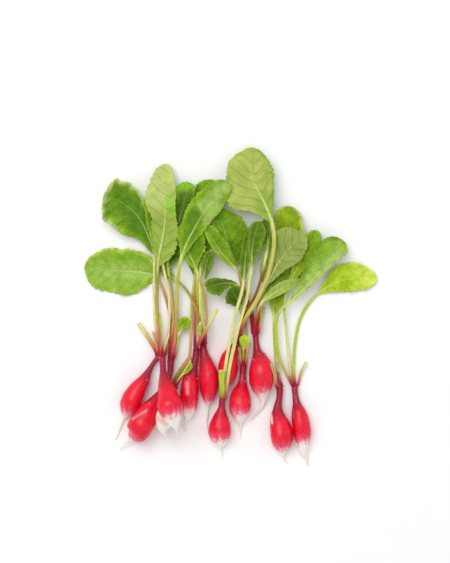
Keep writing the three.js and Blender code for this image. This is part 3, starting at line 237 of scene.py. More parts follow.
LEAVES = {
    "leaf_02_a": {
        "on": "radish_02", "look": "green", "wide": 2.1, "cup": 0.05, "frill": 0.9, "teeth": 10,
        "stem": [(169.3, 356.5, -1.2), (170, 343, 2), (171.4, 330, 1.4), (170.4, 318, 1.2),
            (168, 306, 1.2), (165.2, 296, 1.4), (161.5, 285, 1.6)],
        "blade": [(157, 277.5, 1.6, 4, 3), (147, 273.5, 1.2, 11.3, 12.4), (130, 271.5, 0.4, 18, 16.3),
            (115, 270.3, 0, 16.6, 16.4), (100, 269, 0, 15, 14.3), (91.5, 268.3, 0.6, 11.4, 9.8),
            (86, 268, 1.4, 6, 5.6), (84, 268, 1.6, 2, 2)],
    },
    "stalk_04_a": {
        "on": "radish_04", "look": "stalk", "wide": 3.2, "spread": 3.4,
        "stem": [(174.4, 379, -1.2), (179.8, 371.6, 4), (185.4, 363.6, 5.4), (190.6, 356.6, 6.4)],
    },
    "leaf_04_a": {
        "on": "radish_04", "look": "dark", "wide": 2.1, "cup": 0.2, "frill": 0.8, "teeth": 4,
        "stem": [(178.2, 381, -1.2), (184, 371.5, 2.4), (188.8, 361, 2.8), (190.4, 350, 2.8),
            (191.2, 335, 2.6), (191.5, 318, 2.6), (192.3, 300, 2.6), (194.2, 282, 3)],
        "blade": [(194, 268, 3.6, 3, 2.4), (191, 252, 4, 6, 6), (187, 238, 4, 6, 7),
            (185, 226, 3.4, 2, 2)],
    },
    "leaf_05_a": {
        "on": "radish_05", "look": "green", "wide": 2, "cup": 0.25, "frill": 1, "teeth": 6,
        "stem": [(195, 344.4, -1.2), (195, 330, 2.6), (195, 312, 2.6), (195.4, 295, 2.8),
            (196.2, 280, 3.2), (196, 266, 3.6)],
        "blade": [(197, 250, 4.4, 4, 4), (200, 225, 5.6, 9, 8), (205, 205, 6, 10, 8),
            (211, 190, 5.4, 10.6, 6), (215.4, 180, 4.4, 3, 2.4)],
    },
    "leaf_06_a": {
        "on": "radish_06", "look": "dark", "wide": 2, "cup": 0.2, "frill": 0.8, "teeth": 3,
        "stem": [(200.2, 341.8, -1.2), (199.4, 330, 2.6), (198, 312, 3), (197.8, 296, 3.2),
            (197.4, 280, 3.4)],
        "blade": [(197.6, 268, 3.8, 2, 2), (199, 254, 4.4, 4.6, 4.6), (200.4, 244, 4.4, 2, 2)],
    },
    "leaf_06_b": {
        "on": "radish_06", "look": "dark", "wide": 2, "cup": 0.2, "frill": 0.8, "teeth": 4,
        "stem": [(203.1, 341.4, -1.2), (201.4, 328, 2.6), (200.4, 312, 3), (200.2, 296, 3.2),
            (200.2, 280, 3.4)],
        "blade": [(200.8, 266, 3.8, 2, 2), (203.5, 251, 4.4, 5.4, 5.4), (208, 237, 5, 6, 5),
            (211.4, 225, 4.6, 2, 2)],
    },
    "leaf_06_c": {
        "on": "radish_06", "look": "green", "wide": 2.1, "cup": 0.15, "frill": 0.6, "teeth": 4,
        "stem": [(206, 341.8, -1.2), (200.2, 322, 3), (196.2, 309, 3.2), (191.4, 297.5, 3.2),
            (185.5, 288.5, 3), (179, 282, 3)],
        "blade": [(172.5, 277.6, 3, 2.4, 2.4), (166, 271, 3.2, 4, 4), (160, 262, 3.4, 4.6, 4.6),
            (156, 254, 3, 2, 2)],
    },
    "leaf_02_b": {
        "on": "radish_02", "look": "dark", "wide": 2, "cup": 0.2, "frill": 0.9, "teeth": 8,
        "stem": [(172.4, 356.5, -1.2), (171.6, 345, 2.4), (172.8, 330, 3), (173.8, 315, 3.2),
            (173.2, 300, 3.2), (171.4, 285, 3.2), (168.8, 271, 3.4)],
        "blade": [(168.6, 259, 3.8, 3, 8), (171.5, 245, 4.4, 5, 10), (177, 228, 5, 7, 8.6),
            (182.5, 210, 5, 6.6, 8), (185.8, 195, 4.6, 6.6, 7.2), (187, 186, 4, 6.4, 6),
            (187.4, 181.6, 3.6, 2.4, 2.4)],
    },
    "leaf_03_a": {
        "on": "radish_03", "look": "green", "wide": 2, "cup": 0.16, "frill": 1.2, "teeth": 9,
        "stem": [(159.7, 351.4, -1.2), (158.8, 343, 1.6), (156.6, 332, 2), (154.9, 318, 2.4),
            (154.3, 300, 2.4), (154.2, 285, 2.6), (154.6, 270, 3), (154.8, 260, 3.2)],
        "blade": [(153.4, 250, 3.6, 3, 3), (149, 238, 4.4, 7, 6), (143, 224, 5.4, 16.6, 8),
            (134, 212, 6.4, 18.4, 11.6), (123, 203.4, 7.6, 18.6, 15),
            (113.6, 198.4, 9.4, 18.4, 14.6), (108.6, 196.4, 11.4, 16.6, 13),
            (106, 195.4, 13, 11, 9), (105, 195, 13.6, 3, 3)],
    },
    "leaf_03_b": {
        "on": "radish_03", "look": "green", "wide": 2, "cup": 0.15, "frill": 1, "teeth": 5,
        "stem": [(166.3, 351.4, -1.2), (167.2, 342, 2), (169, 328, 2.6), (169.7, 312, 2.8),
            (169.3, 298, 2.8), (167.2, 284, 3), (164.4, 270, 3.4)],
        "blade": [(160.5, 252, 4, 4, 4), (156, 232, 4.6, 5, 6), (153.4, 214, 5, 6, 6),
            (151.4, 200, 4.8, 4.6, 5), (150.5, 190.6, 4.2, 2, 2)],
    },
    "leaf_03_c": {
        "on": "radish_03", "look": "pale", "wide": 2.2, "cup": 0.14, "frill": 1.1, "teeth": 11,
        "turned": True,
        "stem": [(163, 351, -1.2), (161, 343, 2.4), (159.2, 332, 3), (157.8, 318, 3.2),
            (157.3, 300, 3.4), (157.5, 285, 3.6), (158, 270, 4)],
        "blade": [(160, 254, 4.6, 4.4, 10), (163, 239, 5.6, 7.6, 11.6), (165, 228, 6.4, 9.8, 10.2),
            (165.9, 217, 7, 10.4, 8.2), (166, 210, 7.4, 13.6, 7.6), (166, 201, 7.6, 15, 7.6),
            (165.8, 192, 7.6, 14.2, 8), (165.5, 183, 7.4, 11.2, 7.4),
            (165.3, 174.6, 6.6, 8.6, 6.4), (165.2, 167.6, 5.8, 5.4, 4.8),
            (165, 163.6, 5, 2.2, 2.2)],
    },
    "leaf_05_b": {
        "on": "radish_05", "look": "dark", "wide": 1.9, "cup": 0.35, "frill": 0.4, "teeth": 4,
        "stem": [(198, 344.6, -1.2), (201.4, 331, 3), (202.6, 315, 3.4), (202, 300, 3.6),
            (202.6, 288, 3.8)],
        "blade": [(204.4, 276, 4.2, 1.6, 2.4), (206.4, 264, 5, 3, 5), (209.4, 254.6, 5.4, 3.4, 4),
            (212, 249.6, 5, 1.4, 1.4)],
    },
    "leaf_06_d": {
        "on": "radish_06", "look": "dark", "wide": 1.9, "cup": 0.18, "frill": 1, "teeth": 6,
        "stem": [(205.6, 343.6, -1.2), (206.2, 330, 3), (206.8, 315, 3.6), (205.9, 302, 3.8),
            (203.5, 290, 4), (199.8, 279, 4.2)],
        "blade": [(195.5, 267, 4.6, 2.4, 2.4), (190.6, 256, 5.2, 5, 12), (187.4, 245, 5.6, 6, 13.4),
            (186.4, 232, 5.4, 6, 13), (187, 220, 4.8, 3, 5)],
    },
    "leaf_10_a": {
        "on": "radish_10", "look": "green", "wide": 2.1, "cup": 0.12, "frill": 1, "teeth": 8,
        "stem": [(252.1, 330.6, -1.2), (250.6, 316, 3), (246.8, 304, 3.2), (243.2, 293, 3.2),
            (240.8, 282, 3.4), (238.6, 272, 3.8)],
        "blade": [(234.5, 260, 4.6, 4, 5.2), (229, 246, 5.6, 6.4, 14.4), (224, 230, 6.4, 8, 16),
            (221, 217, 6.4, 6, 13), (221.4, 208.4, 5.6, 2, 6)],
    },
    "leaf_10_b": {
        "on": "radish_10", "look": "green", "wide": 1.9, "cup": 0.14, "frill": 0.7, "teeth": 5,
        "stem": [(255.1, 330.4, -1.2), (252.6, 315, 3.4), (248.8, 303.4, 3.8), (245, 292, 4),
            (241.4, 280, 4.2), (237.4, 271, 4.6)],
        "blade": [(231, 263.6, 5, 2.4, 3), (222, 253.6, 5.6, 3.6, 7.4), (214, 242, 6, 3.8, 7.4),
            (208.4, 232, 5.6, 3, 6), (205.4, 225.6, 5, 1.6, 3)],
    },
    "leaf_09_a": {
        "on": "radish_09", "look": "dark", "wide": 1.7, "cup": 0.5, "frill": 0.8, "teeth": 5,
        "stem": [(245, 362.4, -1.2), (245.4, 345, 3), (245.8, 330, 3.2), (245.8, 315, 3.4),
            (244.4, 300, 3.6), (241, 290, 3.8)],
        "blade": [(235, 284.6, 4, 2, 2), (226, 283, 4.4, 4.4, 3), (216, 284.6, 4.6, 8.2, 5),
            (208.6, 286.6, 4.4, 5, 4.6), (204.4, 287.6, 4, 2, 2)],
    },
    "leaf_09_b": {
        "on": "radish_09", "look": "dark", "wide": 1.8, "cup": 0.1, "frill": 2.2, "teeth": 7,
        "stem": [(242, 362.4, -1.2), (241.8, 345, 2.4), (241.6, 330, 2.6), (241.2, 316, 2.8)],
        "blade": [(239.6, 306, 3.4, 3, 1.6), (236.6, 298, 4.2, 8.4, 5), (232.6, 291, 4.6, 6.4, 6.6),
            (229.6, 286.6, 4.2, 2, 2.4)],
    },
    "leaf_11_a": {
        "on": "radish_11", "look": "green", "wide": 2.2, "cup": 0.2, "frill": 0.6, "teeth": 4,
        "stem": [(279.2, 384.4, -1.2), (278.2, 375, 2.2), (276.3, 362, 2.6), (274.8, 345, 2.6),
            (273.8, 325, 2.6)],
        "blade": [(273.5, 313, 2.8, 1.6, 2), (273.5, 303, 3, 3.4, 7), (274, 292, 3, 4.6, 8.4),
            (275.4, 283.6, 2.8, 2, 2.4)],
    },
    "leaf_10_c": {
        "on": "radish_10", "look": "dark", "wide": 1.9, "cup": 0.16, "frill": 1, "teeth": 6,
        "stem": [(258, 331.2, -1.2), (258.4, 318, 2.6), (259.8, 306, 2.8)],
        "blade": [(264, 295, 3, 3, 3), (270.5, 286.6, 3.2, 6, 5.6), (279, 280, 3.4, 6.4, 6),
            (289, 276, 3.4, 5.4, 5.4), (298, 273.4, 3, 4.4, 4.4), (304, 271, 2.6, 2, 2)],
    },
    "leaf_10_d": {
        "on": "radish_10", "look": "green", "wide": 2, "cup": 0.14, "frill": 0.9, "teeth": 7,
        "stem": [(256.2, 328.8, -1.2), (256.8, 315, 3.4), (259, 300, 3.6), (264, 285, 3.8)],
        "blade": [(270.4, 268, 4.4, 3, 5), (277, 250, 5.4, 5, 10), (283, 233, 6.4, 7, 14.4),
            (286.8, 218, 6.4, 9.6, 11.4), (288, 206, 5.4, 5, 5.4)],
    },
    "leaf_12_a": {
        "on": "radish_12", "look": "green", "wide": 1.9, "cup": 0.2, "frill": 0.6, "teeth": 6,
        "stem": [(291.5, 383, -1.2), (289, 361, 3), (286.4, 335, 3), (284.4, 312, 3),
            (284.8, 297, 3.2)],
        "blade": [(288.4, 285, 3.6, 1.8, 2), (294.4, 273, 4.2, 3, 4.2), (302, 258, 4.8, 7.4, 7.4),
            (310.4, 243, 4.8, 8, 7.6), (318.4, 230.6, 4, 3, 2.6)],
    },
    "leaf_12_b": {
        "on": "radish_12", "look": "yellow", "wide": 2.1, "cup": 0.12, "frill": 1, "teeth": 8,
        "stem": [(294.6, 382.8, -1.2), (293.6, 372, 2), (293.8, 355, 2), (295.2, 340, 1.8),
            (298.6, 323, 1.6), (304.5, 309.6, 1.5), (312, 299.5, 1.5)],
        "blade": [(319, 292.6, 1.8, 1.8, 1.8), (327, 287, 1.8, 4.6, 4.4), (337, 282, 1.2, 10, 8),
            (348, 278.6, 0.4, 11.8, 9.8), (360, 277, 0, 9.9, 10.2), (370, 278.4, 0.6, 5.8, 8.8),
            (376.4, 281.4, 1.8, 3.4, 4.8)],
    },
    "leaf_10_e": {
        "on": "radish_10", "look": "pale", "wide": 2, "cup": 0.12, "frill": 0.9, "teeth": 7, "turned": True,
        "stem": [(255.4, 330, -1.2), (257.6, 315, 4.4), (260.2, 300, 4.8), (263.8, 290, 5)],
        "blade": [(268.4, 281, 5.2, 7, 2.4), (276, 266, 6.2, 12.6, 7), (285, 253, 7, 16, 11.6),
            (294, 243, 7, 14.6, 10.8), (300.6, 236.6, 6.2, 8.6, 6.8), (303.6, 233.4, 5.6, 3, 3)],
    },
    "leaf_10_f": {
        "on": "radish_10", "look": "pale", "wide": 1.8, "cup": 0.3, "frill": 0.5, "teeth": 8,
        "turned": True,
        "stem": [(253.4, 328.8, -1.2), (256.2, 316, 5), (258.6, 307, 5.4)],
        "blade": [(262.4, 301, 5.6, 1.6, 1.6), (268.4, 296.4, 5.8, 3, 2.6), (276, 291.6, 6, 4.6, 3.6),
            (285, 286, 6, 4.4, 4.4), (294, 281.8, 5.6, 2.6, 3.4), (302, 279, 5, 1.4, 1.4)],
    },
    "leaf_12_c": {
        "on": "radish_12", "look": "green", "wide": 2.2, "cup": 0.22, "frill": 0.9, "teeth": 9,
        "stem": [(292, 384.4, -1.2), (287.4, 376, 6), (282.5, 366, 7), (278.6, 355, 6.6),
            (276.4, 340, 5.6), (275.9, 325, 5), (277.6, 315, 5), (282, 308.5, 5)],
        "blade": [(290, 301, 5.2, 1.6, 1.6), (300, 291.6, 5.8, 4.6, 2.2), (312, 279.6, 6.6, 10, 3),
            (322, 267.4, 7.4, 12.8, 4.2), (331, 256.6, 8, 13.6, 5.4), (338, 249.4, 8, 11.8, 6.2),
            (342.6, 245.6, 7.6, 7.8, 5.4), (345.8, 243.2, 7, 2.4, 2.4)],
    },
    "leaf_07_a": {
        "on": "radish_07", "look": "dark", "wide": 2.1, "cup": 0.18, "frill": 0.9, "teeth": 5,
        "stem": [(234.6, 339.6, -1.2), (237.8, 333, 3), (241, 325, 4), (245.3, 314, 5),
            (249.4, 306, 5.4), (253, 299.5, 5.6), (257, 290, 5.8), (260.5, 279, 6),
            (263.5, 266, 6.4)],
        "blade": [(266, 252, 7, 1.8, 1.6), (267, 240, 7.6, 5, 2.4), (266.4, 228, 7.6, 6.8, 3),
            (264, 219, 7, 3, 2.4)],
    },
    "leaf_07_b": {
        "on": "radish_07", "look": "pale", "wide": 3.2, "cup": 0.1, "frill": 1.3, "teeth": 11,
        "turned": True,
        "stem": [(238.9, 339.8, -1.2), (240, 331, 5), (243.4, 322, 6.6), (247.5, 314.6, 7.4),
            (252, 307.4, 8), (256.6, 300, 8.2), (262.4, 288, 8.4), (267.4, 276, 8.6),
            (271, 262, 9), (273, 250, 9.4), (273.4, 238, 9.8), (272.2, 228, 10)],
        "blade": [(269.4, 217, 10.2, 5, 2.2), (264.5, 205, 10.8, 12.6, 7.2), (259, 194, 11.6, 24, 12),
            (254, 184, 12, 22.8, 15.6), (251, 172, 11.8, 18.6, 15.8),
            (250, 160, 10.8, 14.6, 12.6), (250, 151.6, 9.4, 6, 7), (250, 147.6, 8.6, 2.4, 3)],
    },
    "leaf_08_a": {
        "on": "radish_08", "look": "dark", "wide": 2.4, "cup": 0.4, "frill": 0.4, "teeth": 4,
        "stem": [(220.7, 395.2, -1.2), (223.6, 380, 12), (226, 362, 15), (229, 345, 13),
            (232.2, 328, 10), (235.7, 312, 8), (239.3, 300, 7), (242.4, 288, 6.4)],
        "blade": [(243.8, 275, 6.4, 2.4, 2.4), (244.6, 262, 6.6, 3.4, 3.2), (246.2, 247, 6.6, 3.6, 3),
            (249, 234, 6.2, 2.8, 2.6), (251.6, 224.6, 5.6, 1.4, 1.4)],
    },
    "leaf_08_b": {
        "on": "radish_08", "look": "dark", "wide": 2.6, "cup": 0.2, "frill": 1, "teeth": 5,
        "stem": [(225, 395.2, -1.2), (227.2, 380, 12), (230.2, 362, 15), (234, 345, 13),
            (238, 328, 10.4), (242.8, 312, 8.4), (246.4, 300, 7.4), (249.4, 282, 6.8)],
        "blade": [(251.4, 265, 6.8, 1.8, 2), (251.6, 251, 7, 3, 5.6), (253.5, 239, 7, 4.8, 7.8),
            (256, 229, 6.6, 5.4, 7.4), (258, 220.4, 6, 2, 2.4)],
    },
    "leaf_02_c": {
        "on": "radish_02", "look": "green", "wide": 2.6, "cup": 0.16, "frill": 1, "teeth": 9,
        "stem": [(171.2, 357.2, -1.2), (174.6, 343, 3.4), (176.2, 328, 4), (177, 310, 4.2),
            (177.2, 297, 4.4), (178.3, 280, 4.8), (180.5, 265, 5.2)],
        "blade": [(183.8, 252, 5.8, 2.6, 2.8), (188, 242, 6.6, 6, 4.6), (196, 227, 7.8, 10.6, 7.6),
            (203, 215, 8.8, 12.4, 8.6), (211, 204, 9.4, 12, 9.6), (219, 195, 9.4, 10.2, 7.2),
            (226, 188, 8.8, 7, 4.8), (231, 183.4, 8.2, 2.4, 2.4)],
    },
    "leaf_02_d": {
        "on": "radish_02", "look": "green", "wide": 1.8, "cup": 0.2, "frill": 0.3, "teeth": 3,
        "stem": [(174.2, 358.6, -1.2), (176.4, 350, 3.4), (178, 340, 4), (179, 335, 4.2)],
        "blade": [(180.6, 330, 4.6, 2.6, 1.8), (183.2, 324.6, 5, 4.6, 4.4), (187.4, 320.4, 5, 3.4, 4),
            (192, 319.4, 4.6, 0.8, 0.8)],
    },
    "leaf_04_b": {
        "on": "radish_04", "look": "green", "wide": 1.5, "cup": 0.2, "frill": 0.3, "teeth": 3,
        "stem": [(176.6, 381.6, 1.6), (180.6, 376, 4)],
        "blade": [(184.4, 371, 4.6, 0.9, 2.4), (188, 365.4, 5, 0.9, 3.6), (191, 359, 4.8, 0.8, 1.8)],
    },
    "leaf_06_e": {
        "on": "radish_06", "look": "green", "wide": 1.5, "cup": 0.2, "frill": 0.2, "teeth": 3,
        "stem": [(202, 340.6, -1.2), (200.8, 336, 4)],
        "blade": [(200, 331, 4.4, 2, 2), (200, 326, 4.6, 2, 2), (200.6, 320.4, 4.4, 0.8, 0.8)],
    },
    "leaf_09_c": {
        "on": "radish_09", "look": "yellow", "wide": 1.6, "cup": 0.15, "frill": 0.3, "teeth": 3,
        "stem": [(243.5, 362, -1.2), (243.5, 355, 4)],
        "blade": [(243.6, 349.6, 4.4, 1.2, 1.2), (244.2, 342.6, 4.8, 3.4, 3.4),
            (244.8, 337, 4.8, 4.2, 3.8), (245, 334.4, 4.6, 3, 2.6)],
    },
    "leaf_03_d": {
        "on": "radish_03", "look": "green", "wide": 1.4, "cup": 0.1, "frill": 0.2, "teeth": 3,
        "stem": [(164.8, 350.4, -1.2), (166, 345, 3.6)],
        "blade": [(167.4, 340, 4, 0.9, 0.9), (168.8, 335.6, 4.2, 1.2, 1.2),
            (169.8, 331.4, 4, 0.8, 0.8)],
    },
    "leaf_11_b": {
        "on": "radish_11", "look": "dark", "wide": 2, "cup": 0.2, "frill": 0.2, "teeth": 3,
        "stem": [(282.2, 384.6, -1.2), (279, 377, 4)],
        "blade": [(277.8, 370, 4.6, 1.3, 1.3), (276.8, 362, 4.8, 1.6, 1.5),
            (276, 353.6, 4.6, 0.9, 0.8)],
    },
    "stalk_01_a": {
        "on": "radish_01", "look": "stalk", "wide": 3, "spread": 3.4,
        "stem": [(156, 350.6, 0), (150.6, 341, 3.4), (144.6, 331.6, 4.4), (139, 323, 5)],
    },
    "stalk_01_b": {
        "on": "radish_01", "look": "stalk", "wide": 1.5, "spread": 1.7,
        "stem": [(159.4, 350.8, 1.6), (156, 342, 4), (153.4, 331.4, 5)],
    },
    "stalk_03_a": {
        "on": "radish_03", "look": "stalk", "wide": 1.4, "spread": 1.3,
        "stem": [(161.4, 349.4, -1.2), (161.8, 331, 5), (159.8, 312.4, 5.6)],
    },
    "stalk_05_a": {
        "on": "radish_05", "look": "stalk", "wide": 2.7, "spread": 2.9,
        "stem": [(197.2, 344.6, -1.2), (204.6, 332, 5.6), (211.4, 320, 6.4), (217.4, 308.6, 7)],
    },
    "stalk_08_a": {
        "on": "radish_08", "look": "stalk", "wide": 3.2, "spread": 5.4,
        "stem": [(222.6, 394.8, -1.2), (222.2, 384, 13), (221.8, 369.4, 17)],
    },
    "stalk_09_a": {
        "on": "radish_09", "look": "stalk", "wide": 2, "spread": 2.2,
        "stem": [(241, 362.6, -1.2), (240, 354, 4), (238.9, 347.4, 5)],
    },
    "stalk_09_b": {
        "on": "radish_09", "look": "stalk", "wide": 1.9, "spread": 2,
        "stem": [(246, 362.8, -1.2), (247, 352, 4), (247.8, 343.6, 5)],
    },
    "stalk_10_a": {
        "on": "radish_10", "look": "stalk", "wide": 1.9, "spread": 2.1,
        "stem": [(258.4, 331.6, -1.2), (261, 318.6, 2.4), (264.2, 306.4, 3)],
    },
    "stalk_11_a": {
        "on": "radish_11", "look": "stalk", "wide": 1.9, "spread": 2,
        "stem": [(276.2, 385, -1.2), (274, 374, 3), (270.2, 363, 4)],
    },
    "stalk_12_a": {
        "on": "radish_12", "look": "stalk", "wide": 2, "spread": 2.2,
        "stem": [(297.7, 383.4, -1.2), (301, 371.4, 3), (306, 361.4, 4)],
    },
}


# What is seen on single leaves: the tone of a side, the stalk's colours from its base to the blade,
# the colour of its foot, the share of the stalk where its first colour ends, where the end fades,
# bands along an edge (side, width in mm, paint, strength, share of the blade where they start)
# and marks (a line from u, v to u, v, its reach in pixels, paint, strength)
DRESS = {
    # The sage mark along the middle of this blade is a painted sheen.
    "leaf_02_a": {"top": "fresh", "stalk": ("rust", "orange", "tan"),
                  "bands": [("right", 3, "lime", 0.7)], "marks": [(140, 274, 100, 270, 14, "sage", 0.5)]},
    "leaf_04_a": {"stalk": ("pink", "tan", "lime")},
    "leaf_05_a": {"stalk": ("pink", "orange", "tan"), "marks": [(208, 186, 216, 180, 12, "bright", 0.8)]},
    "leaf_06_a": {"stalk": ("pink", "olive", "lime")},
    "leaf_06_b": {"stalk": ("pink", "cream", "cream")},
    "leaf_06_c": {"top": "olive", "stalk": ("pink", "orange", "olive")},
    "leaf_02_b": {"stalk": ("rose", "tan", "olive"), "marks": [(178, 186, 196, 184, 11, "bright", 0.9)]},
    "leaf_03_a": {"stalk": ("pink", "cream", "cream"),
                  "bands": [("left", 7, "bright", 0.6, 0.3), ("right", 3, "rim", 0.8, 0.5),
                            ("left", 3, "rim", 0.95, 0.55), ("end", 5, "rim", 0.95)],
                  "marks": [(150, 232, 127, 206, 20, "dark", 0.5)]},
    "leaf_03_b": {"stalk": ("pink", "cream", "cream")},
    "leaf_03_c": {"under": "pale", "stalk": ("rose", "tan", "olive"),
                  "marks": [(160, 250, 165, 225, 26, "grass", 0.4), (158, 196, 165, 166, 26, "rim", 0.6),
                            (170, 198, 171, 211, 7, "bright", 1.0)]},
    "leaf_05_b": {"stalk": ("pink", "lime", "lime")},
    "leaf_06_d": {"top": "leaf", "stalk": ("pink", "tan", "tan")},
    "leaf_10_a": {"stalk": ("crimson", "rust", "tan"), "bands": [("right", 9, "moss", 0.8)],
                  "marks": [(216, 240, 224, 218, 8, "grass", 0.6)]},
    "leaf_10_b": {"stalk": ("crimson", "rust", "tan")},
    "leaf_09_a": {"stalk": ("pink", "tan", "lime")},
    "leaf_09_b": {"stalk": ("pink", "tan", "lime")},
    "leaf_08_a": {"foot": "pink", "stalk": ("cream lime", "cream lime", "cream lime")},
    "leaf_08_b": {"foot": "pink", "stalk": ("cream lime", "cream lime", "cream lime")},
    "leaf_11_a": {"top": "lime", "foot": "pink", "stalk": ("olive", "lime", "lime")},
    "leaf_10_c": {"top": "leaf", "stalk": ("crimson", "rust", "tan")},
    "leaf_10_d": {"top": "lime", "stalk": ("crimson", "rust", "tan"), "bands": [("right", 2, "rim", 0.6)]},
    "leaf_12_a": {"top": "lime", "stalk": ("cream", "cream", "lime"),
                  "bands": [("right", 1.2, "brown", 0.6)],
                  "marks": [(312, 240, 318, 232, 12, "grass", 0.6)]},
    "leaf_12_b": {"top": "yellow", "stalk": ("lime", "lime", "lime"), "fade": 0.6},
    "leaf_10_e": {"under": "sage", "stalk": ("crimson", "rust", "tan")},
    "leaf_10_f": {"under": "back", "stalk": ("crimson", "rust", "tan")},
    "leaf_12_c": {"top": "fresh", "stalk": ("tan", "lime", "lime"),
                  "bands": [("left", 4, "moss", 0.8, 0.3), ("right", 1.6, "lime", 0.8)],
                  "marks": [(300, 293, 338, 258, 13, "sage", 0.9)]},
    "leaf_07_a": {"stalk": ("rust", "brown", "brown")},
    "leaf_07_b": {"under": "pale", "stalk": ("rose", "straw", "straw"), "low": 0.2,
                  "bands": [("right", 2.2, "grass", 0.7)],
                  "marks": [(272, 226, 262, 200, 14, "grass", 0.5),
                            (233, 156, 240, 153, 5, "bright", 0.9)]},
    # The two sage marks near this blade's far end are a painted sheen where it folds.
    "leaf_02_c": {"stalk": ("pink", "tan", "lime"),
                  "marks": [(204, 208, 224, 188, 10, "sage", 0.8), (208, 222, 217, 206, 8, "sage", 0.7),
                            (188, 240, 195, 214, 9, "dark", 0.5)]},
    "leaf_02_d": {"top": "lime", "stalk": ("tan", "lime", "lime")},
    "leaf_04_b": {"top": "lime", "stalk": ("tan", "lime", "lime")},
    "leaf_06_e": {"top": "lime", "stalk": ("lime", "lime", "lime")},
    "leaf_09_c": {"stalk": ("lime", "lime", "lime")},
    "leaf_03_d": {"top": "lime", "stalk": ("tan", "lime", "lime")},
    "leaf_11_b": {"stalk": ("pink", "olive", "grass")},
    "stalk_01_a": {"stalk": ("pink", "tan", "cream")},
    "stalk_01_b": {"stalk": ("pink", "tan", "tan")},
    "stalk_03_a": {"stalk": ("rose", "tan", "lime")},
    "stalk_04_a": {"stalk": ("brown", "olive", "tan")},
    "stalk_05_a": {"stalk": ("rose", "orange", "cream lime")},
    "stalk_08_a": {"stalk": ("olive", "lime", "lime")},
    "stalk_09_a": {"stalk": ("rose", "tan", "tan")},
    "stalk_09_b": {"stalk": ("rose", "tan", "tan")},
    "stalk_10_a": {"stalk": ("rose", "tan", "lime")},
    "stalk_11_a": {"stalk": ("pink", "tan", "tan")},
    "stalk_12_a": {"stalk": ("pink", "tan", "cream")},
}

# Flaps of torn skin: mm past the shoulder, angle round the root and size in mm
FLAKES = {
    "radish_01": [(1, 165, 3.4), (-1, 120, 2.2)],
    "radish_02": [(3, 60, 2.4)],
    "radish_05": [(1, 150, 2.4), (0, 60, 1.8)],
    "radish_07": [(0, 20, 2.0)],
    "radish_09": [(-1, 130, 2.2), (-3, 40, 1.8)],
    "radish_10": [(0, 20, 3.0), (1.5, 55, 2.6), (-1, 150, 2.6), (-3, 100, 2.0)],
    "radish_11": [(-2, 30, 2.0)],
    "radish_12": [(-1, 40, 2.2)],
}

# Marks on the skins of the roots, in the same way
SCARS = {
    "radish_02": [(134, 417, 148, 408, 1.6, "blush", 1.0)],
    "radish_04": [(160, 416, 166, 420, 5, "pink", 0.6)],
    "radish_05": [(187, 382, 188, 392, 3, "blush", 0.7)],
    "radish_11": [(271, 414, 271.6, 422, 1.6, "white", 1.0)],
    "radish_12": [(290, 402, 293, 416, 1.4, "bark", 0.7)],
}


# Midlines

class Midline:
    """A smooth line through points, each value of which follows the distance along the line."""

    def __init__(self, values):
        self.values = values
        track = np.stack([values["x"], values["y"], values["z"]], axis=1)
        steps = np.linalg.norm(np.diff(track, axis=0), axis=1)
        self.along = np.concatenate([[0.0], np.cumsum(steps)])
        self.length = self.along[-1]
        self.slopes = {key: self.slopes_of(value) for key, value in values.items()}

    def slopes_of(self, value):
        gap = np.diff(self.along)
        rise = np.diff(value) / gap
        inner = (rise[:-1] * gap[1:] + rise[1:] * gap[:-1]) / (gap[:-1] + gap[1:])
        return np.concatenate([[rise[0]], inner, [rise[-1]]])

    def value(self, key, s):
        s = np.asarray(s, dtype=float)
        i = np.clip(np.searchsorted(self.along, s, side="left") - 1, 0, len(self.along) - 2)
        span = self.along[i + 1] - self.along[i]
        t = np.clip((s - self.along[i]) / span, 0, 1)
        a, b = self.values[key][i], self.values[key][i + 1]
        m, n = self.slopes[key][i] * span, self.slopes[key][i + 1] * span
        return ((2 * t**3 - 3 * t**2 + 1) * a + (t**3 - 2 * t**2 + t) * m
                + (3 * t**2 - 2 * t**3) * b + (t**3 - t**2) * n)

    def centre(self, s):
        return np.stack([self.value("x", s), self.value("y", s), self.value("z", s)], axis=-1)

    def frames(self, s):
        """Centre, sideways and upward directions at the stations s, each an array of rows."""
        ahead = self.centre(np.minimum(self.length, s + FRAME_STEP))
        ahead -= self.centre(np.maximum(0, s - FRAME_STEP))
        ahead /= np.linalg.norm(ahead, axis=1, keepdims=True)
        sides = []
        for a in ahead:
            side = np.array([a[1], -a[0], 0.0])
            if np.linalg.norm(side) < 0.02 and sides:
                side = sides[-1].copy()
            side /= np.linalg.norm(side)
            if sides and side @ sides[-1] < 0:
                side = -side
            sides.append(side)
        sides = np.array(sides)
        up = np.cross(sides, ahead)
        up /= np.linalg.norm(up, axis=1, keepdims=True)
        return self.centre(s), sides, up, ahead


def placed(points):
    """Columns x, y (mm) in place of the pixel columns u, v."""
    columns = [np.array(c, dtype=float) for c in zip(*points)]
    return (columns[0] - ORIGIN_U) * MM_PER_PIXEL, (ORIGIN_V - columns[1]) * MM_PER_PIXEL, columns[2:]


def lifts_of(node, upper, lower):
    """How far each ring of a solid was raised, from where its upper and lower marks are now."""
    found = np.array([v.co[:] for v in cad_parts[node].data.vertices]) / MM
    lifts = []
    for high, low in zip(upper, lower):
        near = np.linalg.norm(found[:, :2] - high[:2], axis=1) < SAME_SPOT
        near |= np.linalg.norm(found[:, :2] - low[:2], axis=1) < SAME_SPOT
        heights = found[near, 2]
        lifts.append((heights.max() + heights.min() - high[2] - low[2]) / 2 if len(heights) else np.nan)
    lifts = np.array(lifts)
    known = ~np.isnan(lifts)
    if known.sum() < 0.6 * len(lifts):
        raise ValueError(f"{node}: its solid doesn't follow this layout")
    return np.interp(np.arange(len(lifts)), np.flatnonzero(known), lifts[known])


# Meshes

